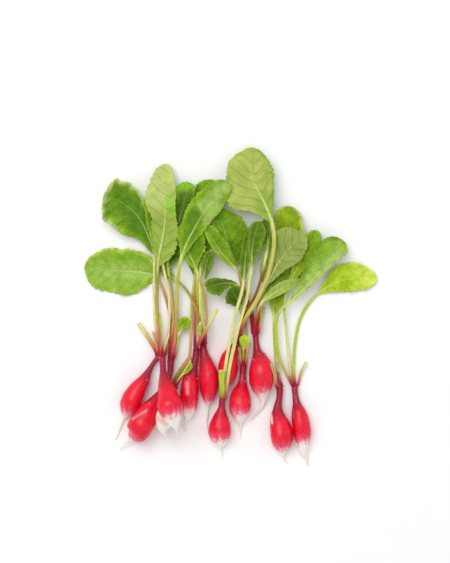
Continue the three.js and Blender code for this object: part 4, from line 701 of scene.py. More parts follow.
def skin(grid):
    """Points and faces over rings of points, each ring a row."""
    rows, columns = grid.shape[:2]
    index = np.arange(rows * columns).reshape(rows, columns)
    index = np.concatenate([index, index[:, :1]], axis=1)
    a, b, c, d = index[:-1, :-1], index[:-1, 1:], index[1:, 1:], index[1:, :-1]
    return grid.reshape(-1, 3), np.stack([a, b, c, d], axis=-1).reshape(-1, 4)


def marked(points, marks):
    """The paint of the marks at each point, and how strong it is there."""
    u = points[:, 0] / MM_PER_PIXEL + ORIGIN_U
    v = ORIGIN_V - points[:, 1] / MM_PER_PIXEL
    tint, strength = np.zeros((len(points), 3)), np.zeros(len(points))
    for u1, v1, u2, v2, reach, colour, most in marks:
        du, dv = u2 - u1, v2 - v1
        share = np.clip(((u - u1) * du + (v - v1) * dv) / (du * du + dv * dv), 0, 1)
        gap = np.hypot(u - u1 - share * du, v - v1 - share * dv)
        here = most * (1 - ease(gap, 0.25 * reach, reach))
        tint = blend(tint, PAINTS[colour], here / np.maximum(here + strength, 1e-6))
        strength = np.maximum(strength, here)
    return tint, strength


def mesh_object(name, points, faces, attributes, materials, face_material, face_smooth):
    """A piece from its points in mm and its faces, with a value of each attribute at each point."""
    mesh = bpy.data.meshes.new(name)
    mesh.from_pydata((points * MM).tolist(), [], faces)
    for key, value in attributes.items():
        value = np.asarray(value, dtype=np.float32)
        kind, field = {1: ("FLOAT", "value"), 2: ("FLOAT_VECTOR", "vector")}[value.ndim]
        if key.endswith("tint"):
            kind, field = "FLOAT_COLOR", "color"
            value = np.concatenate([value, np.ones((len(value), 1), dtype=np.float32)], axis=1)
        layer = mesh.attributes.new(key, kind, "POINT")
        layer.data.foreach_set(field, value.ravel())
    for material in materials:
        mesh.materials.append(material)
    mesh.polygons.foreach_set("material_index", np.asarray(face_material, dtype=np.int32))
    mesh.polygons.foreach_set("use_smooth", np.asarray(face_smooth, dtype=bool))
    mesh.update()
    made = bpy.data.objects.new(name, mesh)
    bpy.context.scene.collection.objects.link(made)
    return made


def blend(a, b, share):
    """Colours or places between a, at a share of 0, and b, at 1."""
    share = np.clip(np.asarray(share, dtype=float), 0, 1)[..., None]
    return a * (1 - share) + b * share


def ease(value, low, high):
    """A smooth step from 0 at low to 1 at high."""
    t = np.clip((value - low) / (high - low), 0, 1)
    return t * t * (3 - 2 * t)


def ripples(rng, first, second, length, count=5):
    """Smooth unevenness between about -1 and 1 over two distances, with waves about that long."""
    total = 0
    for _ in range(count):
        turn, phase = rng.uniform(0, 2 * math.pi, 2)
        wave = 2 * math.pi / (length * rng.uniform(0.6, 1.7))
        total = total + np.sin(wave * (first * math.cos(turn) + second * math.sin(turn)) + phase)
    return total / math.sqrt(count) / 1.5


# Roots

def root_line(name, points):
    """A root's midline, with the rings of its solid and how far each was raised."""
    rest = math.cos(math.pi / ROOT_SIDES)
    rows = [(u, v, wide, height[0] if height else wide / 2 * rest) for u, v, wide, *height in points]
    x, y, (wide, z) = placed(rows)
    line = Midline({"x": x, "y": y, "z": z, "wide": wide})
    rings = []
    for i, s in enumerate(line.along):
        rings.append(s)
        if i + 1 < len(line.along) and wide[i] > THICK_ROOT:
            rings.append((s + line.along[i + 1]) / 2)
    rings = np.array(rings)
    centre, side, _, _ = line.frames(rings)
    radius = np.maximum(0.4, line.value("wide", rings) / 2)
    turn = math.pi * (1 - 7 / ROOT_SIDES)
    mark = centre + side * (radius * math.cos(turn))[:, None]
    rise = np.outer(radius * math.sin(turn), [0, 0, 1])
    upper, lower = mark + rise, mark - rise
    lower[:, 2] = np.maximum(0, lower[:, 2])
    return line, rings, lifts_of(name, upper, lower)


def with_flake(points, faces, attributes, grid, at, size, rng):
    """Adds a little flap of torn skin, standing up from the root's surface towards its neck."""
    ring, spoke = at
    base = grid[ring, spoke]
    out = base - grid[ring].mean(axis=0)
    out /= np.linalg.norm(out)
    ahead = grid[ring - 1, spoke] - base
    ahead /= np.linalg.norm(ahead)
    side = np.cross(ahead, out)
    rows = []
    for t in np.linspace(-0.25, 1, 7):
        ragged = 1 + 0.2 * rng.uniform(-1, 1)
        half = size * 0.42 * math.sqrt(max(0.02, 1 - max(0, t) ** 1.7)) * ragged
        across = np.linspace(-1, 1, 6) * half
        bend = -0.5 * (across / size) ** 2 * size
        centre = base + ahead * t * size + out * (0.75 * max(0, t) ** 1.6 - 0.12) * size
        face = centre + side * across[:, None] + out * bend[:, None]
        rows.append(np.concatenate([face + out * FLAKE_HALF, (face - out * FLAKE_HALF)[::-1]]))
    rows = np.array(rows)
    rows[..., 2] = np.maximum(rows[..., 2], LOWEST_SHEET)
    more, quads = skin(rows)
    first, round_ = len(points), rows.shape[1]
    faces = faces + (quads + first).tolist()
    faces.append([first + i for i in range(round_)][::-1])
    faces.append([first + len(more) - round_ + i for i in range(round_)])
    constant = {"past_red": -30, "from_shoulder": -4, "past_body": -40, "hairy": 0}
    grown = {}
    for key, value in attributes.items():
        if key == "place":
            extra = more
        elif key == "scar_tint":
            extra = np.tile(PAINTS["blush"], (len(more), 1))
        elif key == "scar":
            extra = np.repeat(np.linspace(0.2, 0.9, len(rows)), round_)
        else:
            extra = np.full(len(more), constant[key])
        grown[key] = np.concatenate([value, extra])
    return np.concatenate([points, more]), faces, grown


def make_root(name, points, materials):
    """A dressed root, with its crown's centre and the direction in which its leaves leave it."""
    rng = np.random.default_rng(sum(map(ord, name)))
    line, rings, lifts = root_line(name, points)
    s = np.concatenate([[-DOME, -DOME * 0.97, -DOME * 0.85, -DOME * 0.6, -DOME * 0.3],
                        np.arange(0, line.length, ROOT_STEP), [line.length]])
    inside = np.clip(s, 0, line.length)
    centre, side, _, ahead = line.frames(inside)
    centre = centre + ahead * np.minimum(0, s)[:, None]
    centre[:, 2] += np.interp(inside, rings, lifts)
    radius = line.value("wide", inside) / 2
    thin = ease(s, line.length - TAIL, line.length)
    radius = np.maximum(radius * (1 - 0.35 * thin), THINNEST_TAIL)
    radius *= np.sqrt(np.clip(1 - (np.minimum(0, s) / DOME) ** 2, 0.0, 1))
    wander = rng.uniform(0, 2 * math.pi, 3)
    sway = 0.35 * thin * (np.sin(s / 2.1 + wander[0]) + 0.6 * np.sin(s / 0.9 + wander[1]))
    centre = centre + side * sway[:, None]
    turn = np.linspace(0, 2 * math.pi, ROUND, endpoint=False)
    s_all, turn_all = np.meshgrid(s, turn, indexing="ij")
    body = ease(radius, 1.5, 4)[:, None]
    waist = (1 - body) * (1 - thin[:, None])
    plump = 1 + 0.028 * body * ripples(rng, s_all, 4 * np.sin(turn_all + wander[0]), 9)
    plump += 0.012 * body * np.sin(3 * turn_all + s_all / 9 + wander[1])
    plump += 0.05 * waist * np.sin(5 * turn_all + s_all / 6 + wander[2])
    collar = sum(share * np.exp(-((s_all - at) / long) ** 2) for at, long, share in COLLARS)
    plump += 0.06 * collar + 0.03 * waist * np.sin(s_all * 2.1 + np.sin(turn_all + wander[0]))
    across = radius[:, None] * plump * np.cos(turn_all)
    height = radius[:, None] * plump * np.sin(turn_all)
    grid = centre[:, None, :] + side[:, None, :] * across[..., None]
    grid[..., 2] += height
    grid[..., 2] = np.maximum(grid[..., 2], LOWEST_SKIN)
    points_out, faces = skin(grid)
    faces = faces.tolist()
    faces.append(list(range(ROUND))[::-1])
    faces.append([(len(s) - 1) * ROUND + i for i in range(ROUND)])
    y_white = (ORIGIN_V - WHITE_FROM[name]) * MM_PER_PIXEL
    fine = np.linspace(0, line.length, 400)
    white_s = fine[np.argmin(np.abs(line.value("y", fine) - y_white))]
    shoulder = line.along[np.argmax(line.values["wide"] > 7)]
    attributes = {
        "place": np.stack([across, height, s_all], axis=-1).reshape(-1, 3),
        "past_red": (s_all - white_s).ravel(),
        "from_shoulder": (s_all - shoulder).ravel(),
        "past_body": (s_all - line.along[-4]).ravel(),
    }
    past_body = attributes["past_body"]
    attributes["hairy"] = ease(past_body, 0, 8) * (1 - ease(past_body, 14, 22))
    attributes["scar_tint"], scar = marked(points_out, SCARS.get(name, []))
    attributes["scar"] = scar * ease(np.sin(turn_all).ravel(), -0.1, 0.4)
    for along, angle, size in FLAKES.get(name, []):
        at = np.searchsorted(s, shoulder + along), int(angle / 360 * ROUND) % ROUND
        points_out, faces, attributes = with_flake(points_out, faces, attributes, grid, at, size, rng)
    made = mesh_object(name + "_skin", points_out, faces, attributes, materials,
                       np.zeros(len(faces)), np.ones(len(faces)))
    start = line.centre(np.array([0.0]))[0]
    start[2] += lifts[0]
    inner = line.centre(rings[1:2])[0]
    outward = start[:2] - inner[:2]
    return made, (start, outward / np.linalg.norm(outward))


# Leaves

def leaf_line(name, leaf, crown):
    """A leaf's midline, where its blade starts, the rings of its solid and their lifts."""
    rows = [(u, v, z, 0, 0) for u, v, z in leaf["stem"]] + list(leaf.get("blade", []))
    x, y, (z, left, right) = placed(rows)
    crown_centre, outward = crown
    away = np.array([x[1] - x[0], y[1] - y[0]])
    away /= np.linalg.norm(away)
    slant = math.sqrt(max(0, 1 - (away @ outward) ** 2))
    off = (np.array([x[0], y[0]]) - crown_centre[:2]) @ outward
    shift = CROWN_GAP + leaf["wide"] / 2 * slant - off
    x[0] += shift * outward[0]
    y[0] += shift * outward[1]
    z[0] += crown_centre[2]
    line = Midline({"x": x, "y": y, "z": z, "left": left, "right": right})
    blade_from = line.along[len(leaf["stem"]) - 1]
    stalk_rings = max(2, int(blade_from / STALK_RING_STEP + 0.5))
    step = blade_from / stalk_rings
    blade_rings = 2 * leaf.get("teeth", 0)
    foot = [0, BASE_RING] if step > 2 * BASE_RING else [0]
    rings = np.concatenate([foot, np.arange(1, stalk_rings) * step,
                            np.linspace(blade_from, line.length, blade_rings + 1)])
    centre, _, up, _ = line.frames(rings)
    face = -1 if leaf.get("turned") else 1
    rib = rib_of(leaf, line, blade_from, rings)
    flat = np.clip(line.value("right", rings), 0, FULL_BLADE) / FULL_BLADE
    marks = []
    for facing in (1, -1):
        ribbed = rib if facing != face else 0
        above = facing * ((1 - flat) * rib * STALK_FLATNESS + flat * (LEAF_THICKNESS / 2 + ribbed))
        marks.append(centre + up * above[:, None])
    return line, blade_from, rings, lifts_of(name, *marks)


def rib_of(leaf, line, blade_from, s):
    """Half the width of the stalk, and of the midrib after it."""
    share = np.clip((s - blade_from) / (line.length - blade_from or 1), 0, 1)
    spread = leaf.get("spread", leaf["wide"]) / leaf["wide"] - 1
    if "teeth" not in leaf:
        return leaf["wide"] / 2 * (1 + spread * s / line.length)
    return leaf["wide"] / 2 * (1 - (1 - RIB_AT_TIP) * share)


def make_leaf(name, leaf, crown, materials):
    """A dressed leaf or cut stalk, whose base goes into the neck of its root."""
    rng = np.random.default_rng(sum(map(ord, name)) * 7)
    line, blade_from, rings, lifts = leaf_line(name, leaf, crown)
    face = -1 if leaf.get("turned") else 1
    length = line.length
    has_blade = "teeth" in leaf
    s = np.concatenate([-SUNK * np.array([1, 0.94, 0.8, 0.5, 0.2]), np.arange(0, blade_from, STALK_STEP)])
    if has_blade:
        count = int((length - blade_from) / BLADE_STEP)
        s = np.concatenate([s, np.linspace(blade_from, length, count + 1)])
    else:
        s = np.append(s, length)
    inside = np.clip(s, 0, length)
    centre, side, up, _ = line.frames(inside)
    soft = [np.interp(np.clip(inside + d, 0, length), rings, lifts) for d in (-2, -1, 0, 1, 2)]
    centre[:, 2] += np.mean(soft, axis=0)
    base = centre[np.argmax(s >= 0)].copy()
    heart = crown[0] - np.append(crown[1], 0) * INTO_NECK
    sunk = s < 0
    centre[sunk] = blend(base, heart, -s[sunk] / SUNK)
    up[sunk] = np.cross(side[sunk], (base - heart) / np.linalg.norm(base - heart))
    rib = rib_of(leaf, line, blade_from, inside)
    tip = np.sqrt(1 - np.clip((-s / SUNK - 0.7) / 0.3, 0, 1) ** 2)
    if has_blade:
        tip *= np.sqrt(1 - np.clip((s - (length - TIP_ROUND)) / TIP_ROUND, 0, 1) ** 2)
    phases = rng.uniform(0, 2 * math.pi, 8)
    edges = []
    for i, key in enumerate(("left", "right")):
        reach = np.maximum(0, line.value(key, inside)) * tip
        beat = s / SCALLOP_LENGTH + 0.36 * np.sin(s / 5.1 + phases[i])
        beat = beat + 0.2 * np.sin(s / 2.3 + phases[2 + i])
        lobe = 1 - np.abs(2 * ((beat % 1) ** 0.8) - 1) ** 2.4
        depth = np.minimum(SCALLOP_DEPTH, reach * 0.12) * (0.8 + 0.45 * np.sin(s / 6.7 + phases[4 + i]))
        tick = np.sin(2 * math.pi * s / NICK_LENGTH + 2 * np.sin(s / 4 + phases[i]))
        nick = np.minimum(NICK_DEPTH, reach * 0.03) * tick
        edges.append(np.maximum(0, reach + depth * (lobe - 0.7) + nick))
    widest = max(e.max() for e in edges)
    half = int(np.clip(round(widest / BLADE_COLUMN), 4, 15))
    steps = np.linspace(-1, 1, 2 * half + 1)
    parts = np.sign(steps) * np.abs(steps) ** 1.25
    left, right = edges[0][:, None], edges[1][:, None]
    p = parts[None, :]
    reach = np.where(p < 0, left, np.where(p > 0, right, (left + right) / 2))
    flat = ease(reach, 0, FULL_BLADE)
    flat = np.where(np.abs(p) > 0, flat, (ease(left, 0, FULL_BLADE) + ease(right, 0, FULL_BLADE)) / 2)
    rib_all = rib[:, None]
    s_all = np.broadcast_to(s[:, None], reach.shape)
    width = np.maximum(rib_all * tip[:, None], reach)
    y_all = width * p
    away = np.abs(y_all)
    wave = np.sin(2 * math.pi * s_all / FRILL_LENGTH + np.where(p < 0, 0.0, 2.0))
    rise = leaf.get("cup", 0) * reach * np.abs(p) ** CUP_POWER
    rise = rise + leaf.get("frill", 0) * wave * np.minimum(1, reach / 8) * ease(np.abs(p), 0.35, 1.0)
    short = np.sin(2 * math.pi * s_all / RIPPLE_LENGTH + phases[6] + np.where(p < 0, 0.0, 2.6))
    rise = rise + RIPPLE_DEPTH * short * np.abs(p) ** 4 * np.minimum(1, reach / 8)
    spacing = float(np.clip((length - blade_from) / 8, 4.5, 9.0))
    shift = 0.5 * ease(y_all, 0, 3)
    warp = 0.12 * ripples(rng, s_all, y_all, 16)
    vein = (s_all - 0.95 * away**0.97) / spacing + shift + warp
    bulge = np.abs(np.sin(math.pi * vein)) ** 0.8 - 0.5
    calm = np.minimum(1, away / 3) * (1 - np.abs(p) ** 6) * np.minimum(1, reach / 7)
    rise = rise + face * PUCKER * bulge * calm
    rise = rise + 0.35 * ripples(rng, s_all, y_all, 20) * np.minimum(1, reach / 8)
    dress = DRESS[name]
    stalk_tint = stalk_colours(dress, has_blade, s, blade_from, length)
    onward = np.clip((s_all - blade_from) / (length - blade_from or 1), 0, 1)
    sheets, places, tints = [], [], []
    for facing in (1, -1):
        back = facing != face
        turn = math.pi * (0.5 - 0.47 * p)
        if facing < 0:
            turn = -turn
        oval_across = rib_all * np.cos(turn) * tip[:, None]
        groove = 0.3 * np.exp(-(p / 0.45) ** 2) if not back else 0.0
        oval_above = rib_all * STALK_FLATNESS * np.sin(turn) * (1 - groove) * tip[:, None]
        ridge = rib_all * 0.85 * np.exp(-((away / (0.8 * rib_all)) ** 2)) * tip[:, None] if back else 0.0
        sheet_above = facing * (BLADE_HALF * (1 - 0.4 * p**4) + ridge)
        if not back:
            sheet_above = sheet_above - facing * 0.25 * rib_all * np.exp(-((away / rib_all) ** 2))
        across = oval_across * (1 - flat) + y_all * flat
        above = oval_above * (1 - flat) + sheet_above * flat + flat * rise
        grid = centre[:, None, :] + side[:, None, :] * across[..., None] + up[:, None, :] * above[..., None]
        sheets.append(grid)
        places.append(np.stack([s_all, across, np.full_like(across, phases[7] * 9)], axis=-1))
        tints.append(blade_colours(dress, leaf["look"], back, grid, s_all, y_all, reach, p, onward,
                                   length, rng))
    rows, columns = reach.shape
    points_out = np.concatenate([g.reshape(-1, 3) for g in sheets])
    points_out[:, 2] = np.maximum(points_out[:, 2], LOWEST_SHEET)
    index = np.arange(2 * rows * columns).reshape(2, rows, columns)
    faces, kinds, smooth = [], [], []

    def add(a, b, c, d, kind, soft):
        quads = np.stack([a, b, c, d], axis=-1).reshape(-1, 4)
        faces.extend(quads.tolist())
        kinds.extend(np.broadcast_to(kind, a.shape).ravel().tolist())
        smooth.extend(np.broadcast_to(soft, a.shape).ravel().tolist())

    top, low = index
    add(top[:-1, :-1], top[:-1, 1:], top[1:, 1:], top[1:, :-1], 0 if face > 0 else 1, True)
    add(low[:-1, 1:], low[:-1, :-1], low[1:, :-1], low[1:, 1:], 1 if face > 0 else 0, True)
    stalky = flat[:-1, 0] < 0.6
    add(top[:-1, -1], low[:-1, -1], low[1:, -1], top[1:, -1], 0, flat[:-1, -1] < 0.6)
    add(low[:-1, 0], top[:-1, 0], top[1:, 0], low[1:, 0], 0, stalky)
    add(low[0, :-1], low[0, 1:], top[0, 1:], top[0, :-1], 0, False)
    add(top[-1, :-1], top[-1, 1:], low[-1, 1:], low[-1, :-1], 0 if has_blade else 2, False)
    hairy = np.where(s_all > 6, 1 - 0.6 * flat, 0) * has_blade
    attributes = {
        "place": np.concatenate([q.reshape(-1, 3) for q in places]),
        "vein": np.tile(vein.ravel(), 2),
        "rib": np.tile(np.broadcast_to(rib_all, reach.shape).ravel(), 2),
        "flatness": np.tile(flat.ravel(), 2),
        "rim": np.tile(((1 - np.abs(p)) * reach).ravel(), 2),
        "onward": np.tile(onward.ravel(), 2),
        "hairy": np.tile(hairy.ravel(), 2),
        "tint": np.concatenate([t.reshape(-1, 3) for t in tints]),
        "stalk_tint": np.tile(np.repeat(stalk_tint, columns, axis=0), (2, 1)),
    }
    return mesh_object(name + "_dressed", points_out, faces, attributes, materials, kinds, smooth)


def stalk_colours(dress, has_blade, s, blade_from, length):
    """The stalk's colour at each station, and the midrib's after it."""
    low, middle, top = (PAINTS[name] for name in dress["stalk"])
    if has_blade:
        foot = PAINTS[dress.get("foot", "crimson")]
        first = dress.get("low", 0.28) * blade_from
        into_blade = blade_from + 0.12 * (length - blade_from)
        stops = [0, 3, max(7, 0.6 * first), max(12, 1.4 * first), 0.9 * blade_from, into_blade]
        colours = np.array([foot, foot, low, middle, top, PAINTS["cream lime"]])
        stops = np.maximum.accumulate(stops)
    else:
        stops = [0, 0.12 * length, 0.35 * length, 0.8 * length]
        colours = np.array([PAINTS["crimson"], low, middle, top])
    return np.stack([np.interp(s, stops, colours[:, k]) for k in range(3)], axis=1)


def blade_colours(dress, look, back, grid, s, y, reach, p, onward, length, rng):
    """Colours over one side of a blade."""
    tone = dress.get("under" if back else "top", LOOKS[look][back])
    colour, margin, glow = TONES[tone]
    tint = blend(np.broadcast_to(colour, s.shape + (3,)), glow, 0.5 + 0.6 * ripples(rng, s, y, 24))
    rim = (1 - np.abs(p)) * reach
    wander = 1 + 0.5 * ripples(rng, s, y, 12)
    tint = blend(tint, margin, 0.75 * (1 - ease(rim, 0.3, 3.4 * np.maximum(0.3, wander))))
    if "fade" in dress and not back:
        faded = ease(onward + 0.05 * wander, dress["fade"], dress["fade"] + 0.3)
        tint = blend(tint, PAINTS["pale end"], 0.9 * faded)
    for edge, width, band, strength, *start in dress.get("bands", []):
        gap = {"left": np.where(y < 0, rim, 99), "right": np.where(y > 0, rim, 99), "end": length - s}[edge]
        strength = strength * ease(onward, start[0] - 0.1, start[0] + 0.1) if start else strength
        past = ease(gap, 0.3 * width, 1.2 * width * np.maximum(0.5, wander))
        tint = blend(tint, PAINTS[band], strength * (1 - past))
    marks, strength = marked(grid.reshape(-1, 3), dress.get("marks", []))
    return blend(tint, marks.reshape(tint.shape), strength.reshape(s.shape))


# Materials

class Tree:
    """Builds a node tree: node(kind, {input: value or output}, property=value) returns the node."""

    def __init__(self, tree):
        self.tree = tree

    def node(self, kind, inputs=None, **settings):
        made = self.tree.nodes.new(kind)
        for key, value in settings.items():
            setattr(made, key, value)
        for key, value in (inputs or {}).items():
            socket = made.inputs[key]
            if isinstance(value, bpy.types.NodeSocket):
                self.tree.links.new(value, socket)
            else:
                socket.default_value = value
        return made

    def attribute(self, name, output="Fac"):
        return self.node("ShaderNodeAttribute", attribute_name=name).outputs[output]

    def maths(self, operation, *values, clamp=False):
        made = self.node("ShaderNodeMath", dict(enumerate(values)), operation=operation, use_clamp=clamp)
        return made.outputs[0]

    def between(self, value, low, high, out_low=0.0, out_high=1.0):
        made = self.node("ShaderNodeMapRange", {"Value": value, "From Min": low, "From Max": high,
                         "To Min": out_low, "To Max": out_high}, interpolation_type="SMOOTHSTEP")
        return made.outputs["Result"]

    def mix(self, share, a, b, blend_type="MIX"):
        made = self.node("ShaderNodeMix", data_type="RGBA", blend_type=blend_type)
        for socket, value in zip((made.inputs[0], made.inputs[6], made.inputs[7]), (share, a, b)):
            if isinstance(value, bpy.types.NodeSocket):
                self.tree.links.new(value, socket)
            else:
                socket.default_value = value
        return made.outputs[2]

    def noise(self, vector, scale, detail=3.0, roughness=0.55):
        made = self.node("ShaderNodeTexNoise", {"Vector": vector, "Scale": scale, "Detail": detail,
                         "Roughness": roughness})
        return made.outputs["Fac"]

    def stretched(self, vector, scale):
        return self.node("ShaderNodeMapping", {"Vector": vector, "Scale": scale}).outputs["Vector"]

    def group(self, group, inputs=None):
        made = self.node("ShaderNodeGroup")
        made.node_tree = group
        for key, value in (inputs or {}).items():
            if isinstance(value, bpy.types.NodeSocket):
                self.tree.links.new(value, made.inputs[key])
            else:
                made.inputs[key].default_value = value
        return made


def node_group(name, outputs, inputs=()):
    """A new shader group, its tree builder, and its input and output nodes."""
    group = bpy.data.node_groups.new(name, "ShaderNodeTree")
    for key, kind in inputs:
        group.interface.new_socket(name=key, in_out="INPUT", socket_type=kind)
    for key, kind in outputs:
        group.interface.new_socket(name=key, in_out="OUTPUT", socket_type=kind)
    tree = Tree(group)
    return group, tree, group.nodes.new("NodeGroupInput"), group.nodes.new("NodeGroupOutput")


def vein_group():
    """Masks of a blade's midrib, side veins and fine net, of its cells and patches, and of the stalk."""
    value = "NodeSocketFloat"
    group, t, _, out = node_group("leaf veins", [("Midrib", value), ("Side veins", value), ("Net", value),
                                                 ("Cells", value), ("Mottle", value), ("Stalk", value)])
    place = t.attribute("place", "Vector")
    across = t.node("ShaderNodeSeparateXYZ", {"Vector": place}).outputs["Y"]
    away = t.maths("ABSOLUTE", across)
    flat = t.attribute("flatness")
    rib = t.attribute("rib")
    onward = t.attribute("onward")
    midrib = t.maths("SUBTRACT", 1.0, t.between(t.maths("DIVIDE", away, rib), 0.3, 0.95))
    midrib = t.maths("MULTIPLY", midrib, t.between(onward, 0.15, 0.85, 1.0, 0.2))
    stray = t.maths("MULTIPLY", t.maths("SUBTRACT", t.noise(place, 0.45), 0.5), 0.22)
    count = t.maths("FRACT", t.maths("ADD", t.attribute("vein"), stray))
    beat = t.maths("ABSOLUTE", t.maths("SUBTRACT", count, 0.5))
    fine = t.maths("SUBTRACT", 0.5, beat)
    thick = t.between(away, 0.0, 16.0, 0.07, 0.022)
    side = t.maths("SUBTRACT", 1.0, t.between(t.maths("DIVIDE", fine, thick), 0.25, 1.15))
    side = t.maths("MULTIPLY", side, t.between(t.attribute("rim"), 0.2, 3.0))
    warped = t.node("ShaderNodeVectorMath", {0: place, 1: t.node("ShaderNodeTexNoise", {"Vector": place,
                    "Scale": 0.5}).outputs["Color"]}, operation="ADD").outputs[0]
    net = t.node("ShaderNodeTexVoronoi", {"Vector": warped, "Scale": 0.42}, feature="DISTANCE_TO_EDGE")
    lines = t.maths("SUBTRACT", 1.0, t.between(net.outputs["Distance"], 0.01, 0.11))
    tiny = t.node("ShaderNodeTexVoronoi", {"Vector": warped, "Scale": 1.15}, feature="DISTANCE_TO_EDGE")
    threads = t.maths("SUBTRACT", 1.0, t.between(tiny.outputs["Distance"], 0.01, 0.13))
    lines = t.maths("MAXIMUM", lines, t.maths("MULTIPLY", threads, 0.45))
    cells = t.between(net.outputs["Distance"], 0.0, 0.45)
    stalk = t.maths("SUBTRACT", 1.0, t.between(flat, 0.25, 0.9))
    for key, made in (("Midrib", midrib), ("Side veins", side), ("Net", lines), ("Cells", cells),
                      ("Mottle", t.noise(place, 0.16, 4.0)), ("Stalk", stalk)):
        group.links.new(made, out.inputs[key])
    return group


def streak_group():
    """Fine lengthwise streaks of a root's skin."""
    value = "NodeSocketFloat"
    group, t, given, out = node_group("lengthwise streaks", [("Streaks", value)],
                                      [("Place", "NodeSocketVector"), ("Along", value)])
    pick = t.node("ShaderNodeCombineXYZ", {"X": given.outputs["Along"], "Y": given.outputs["Along"],
                                           "Z": given.outputs["Along"]}).outputs[0]
    streaks = t.noise(t.node("ShaderNodeVectorMath", {0: given.outputs["Place"], 1: pick},
                             operation="MULTIPLY").outputs[0], 1.0, 4.0)
    group.links.new(streaks, out.inputs["Streaks"])
    return group


def surface(name, colour_and_bump):
    """A material: colour_and_bump(tree, shader) wires one Principled shader."""
    material = bpy.data.materials.new(name)
    material.use_nodes = True
    material.node_tree.nodes.clear()
    t = Tree(material.node_tree)
    shader = t.node("ShaderNodeBsdfPrincipled")
    t.node("ShaderNodeOutputMaterial", {"Surface": shader.outputs[0]})
    colour_and_bump(t, shader)
    return material


def leaf_surface(name, veins, relief, vein_share, vein_tone, rib_share, cloud, roughness):
    """One side of the leaves: relief raises its veins or sinks them, and cloud is how patchy it is."""
    def wire(t, shader):
        masks = t.group(veins).outputs
        place = t.attribute("place", "Vector")
        tint = t.attribute("tint", "Color")
        stalk = t.attribute("stalk_tint", "Color")
        patches = t.mix(t.between(masks["Mottle"], 0.3, 0.7), (0.62, 0.66, 0.5, 1), (1.3, 1.22, 1.4, 1))
        mottled = t.mix(cloud, tint, patches, "MULTIPLY")
        cell = t.mix(masks["Cells"], (0.86, 0.88, 0.84, 1), (1.1, 1.09, 1.12, 1))
        cells = t.mix(cloud, mottled, cell, "MULTIPLY")
        veiny = t.mix(1.0, cells, vein_tone, "MULTIPLY")
        netted = t.mix(t.maths("MULTIPLY", masks["Net"], vein_share * 0.5), cells, veiny)
        veined = t.mix(t.maths("MULTIPLY", masks["Side veins"], vein_share), netted, veiny)
        long = t.stretched(place, (0.12, 2.2, 2.2))
        lines = t.between(t.noise(long, 1.0, 4.0), 0.35, 0.7)
        streak = t.mix(lines, (0.82, 0.78, 0.72, 1), (1.12, 1.12, 1.08, 1))
        stem = t.mix(1.0, stalk, streak, "MULTIPLY")
        share = t.maths("MAXIMUM", masks["Stalk"], t.maths("MULTIPLY", masks["Midrib"], rib_share))
        t.tree.links.new(t.mix(share, veined, stem), shader.inputs["Base Color"])
        height = t.maths("MULTIPLY_ADD", masks["Side veins"], relief, masks["Cells"])
        height = t.maths("MULTIPLY_ADD", masks["Net"], relief * 0.4, height)
        height = t.maths("ADD", height, t.maths("MULTIPLY", t.noise(long, 1.0, 3.0), 0.5))
        bump = t.node("ShaderNodeBump", {"Height": height, "Strength": 0.8, "Distance": 0.35 * MM})
        t.tree.links.new(bump.outputs[0], shader.inputs["Normal"])
        rough = t.between(t.noise(place, 0.9), 0.3, 0.7, roughness - 0.06, roughness + 0.1)
        t.tree.links.new(rough, shader.inputs["Roughness"])
        shader.inputs["Specular IOR Level"].default_value = 0.2
    return surface(name, wire)


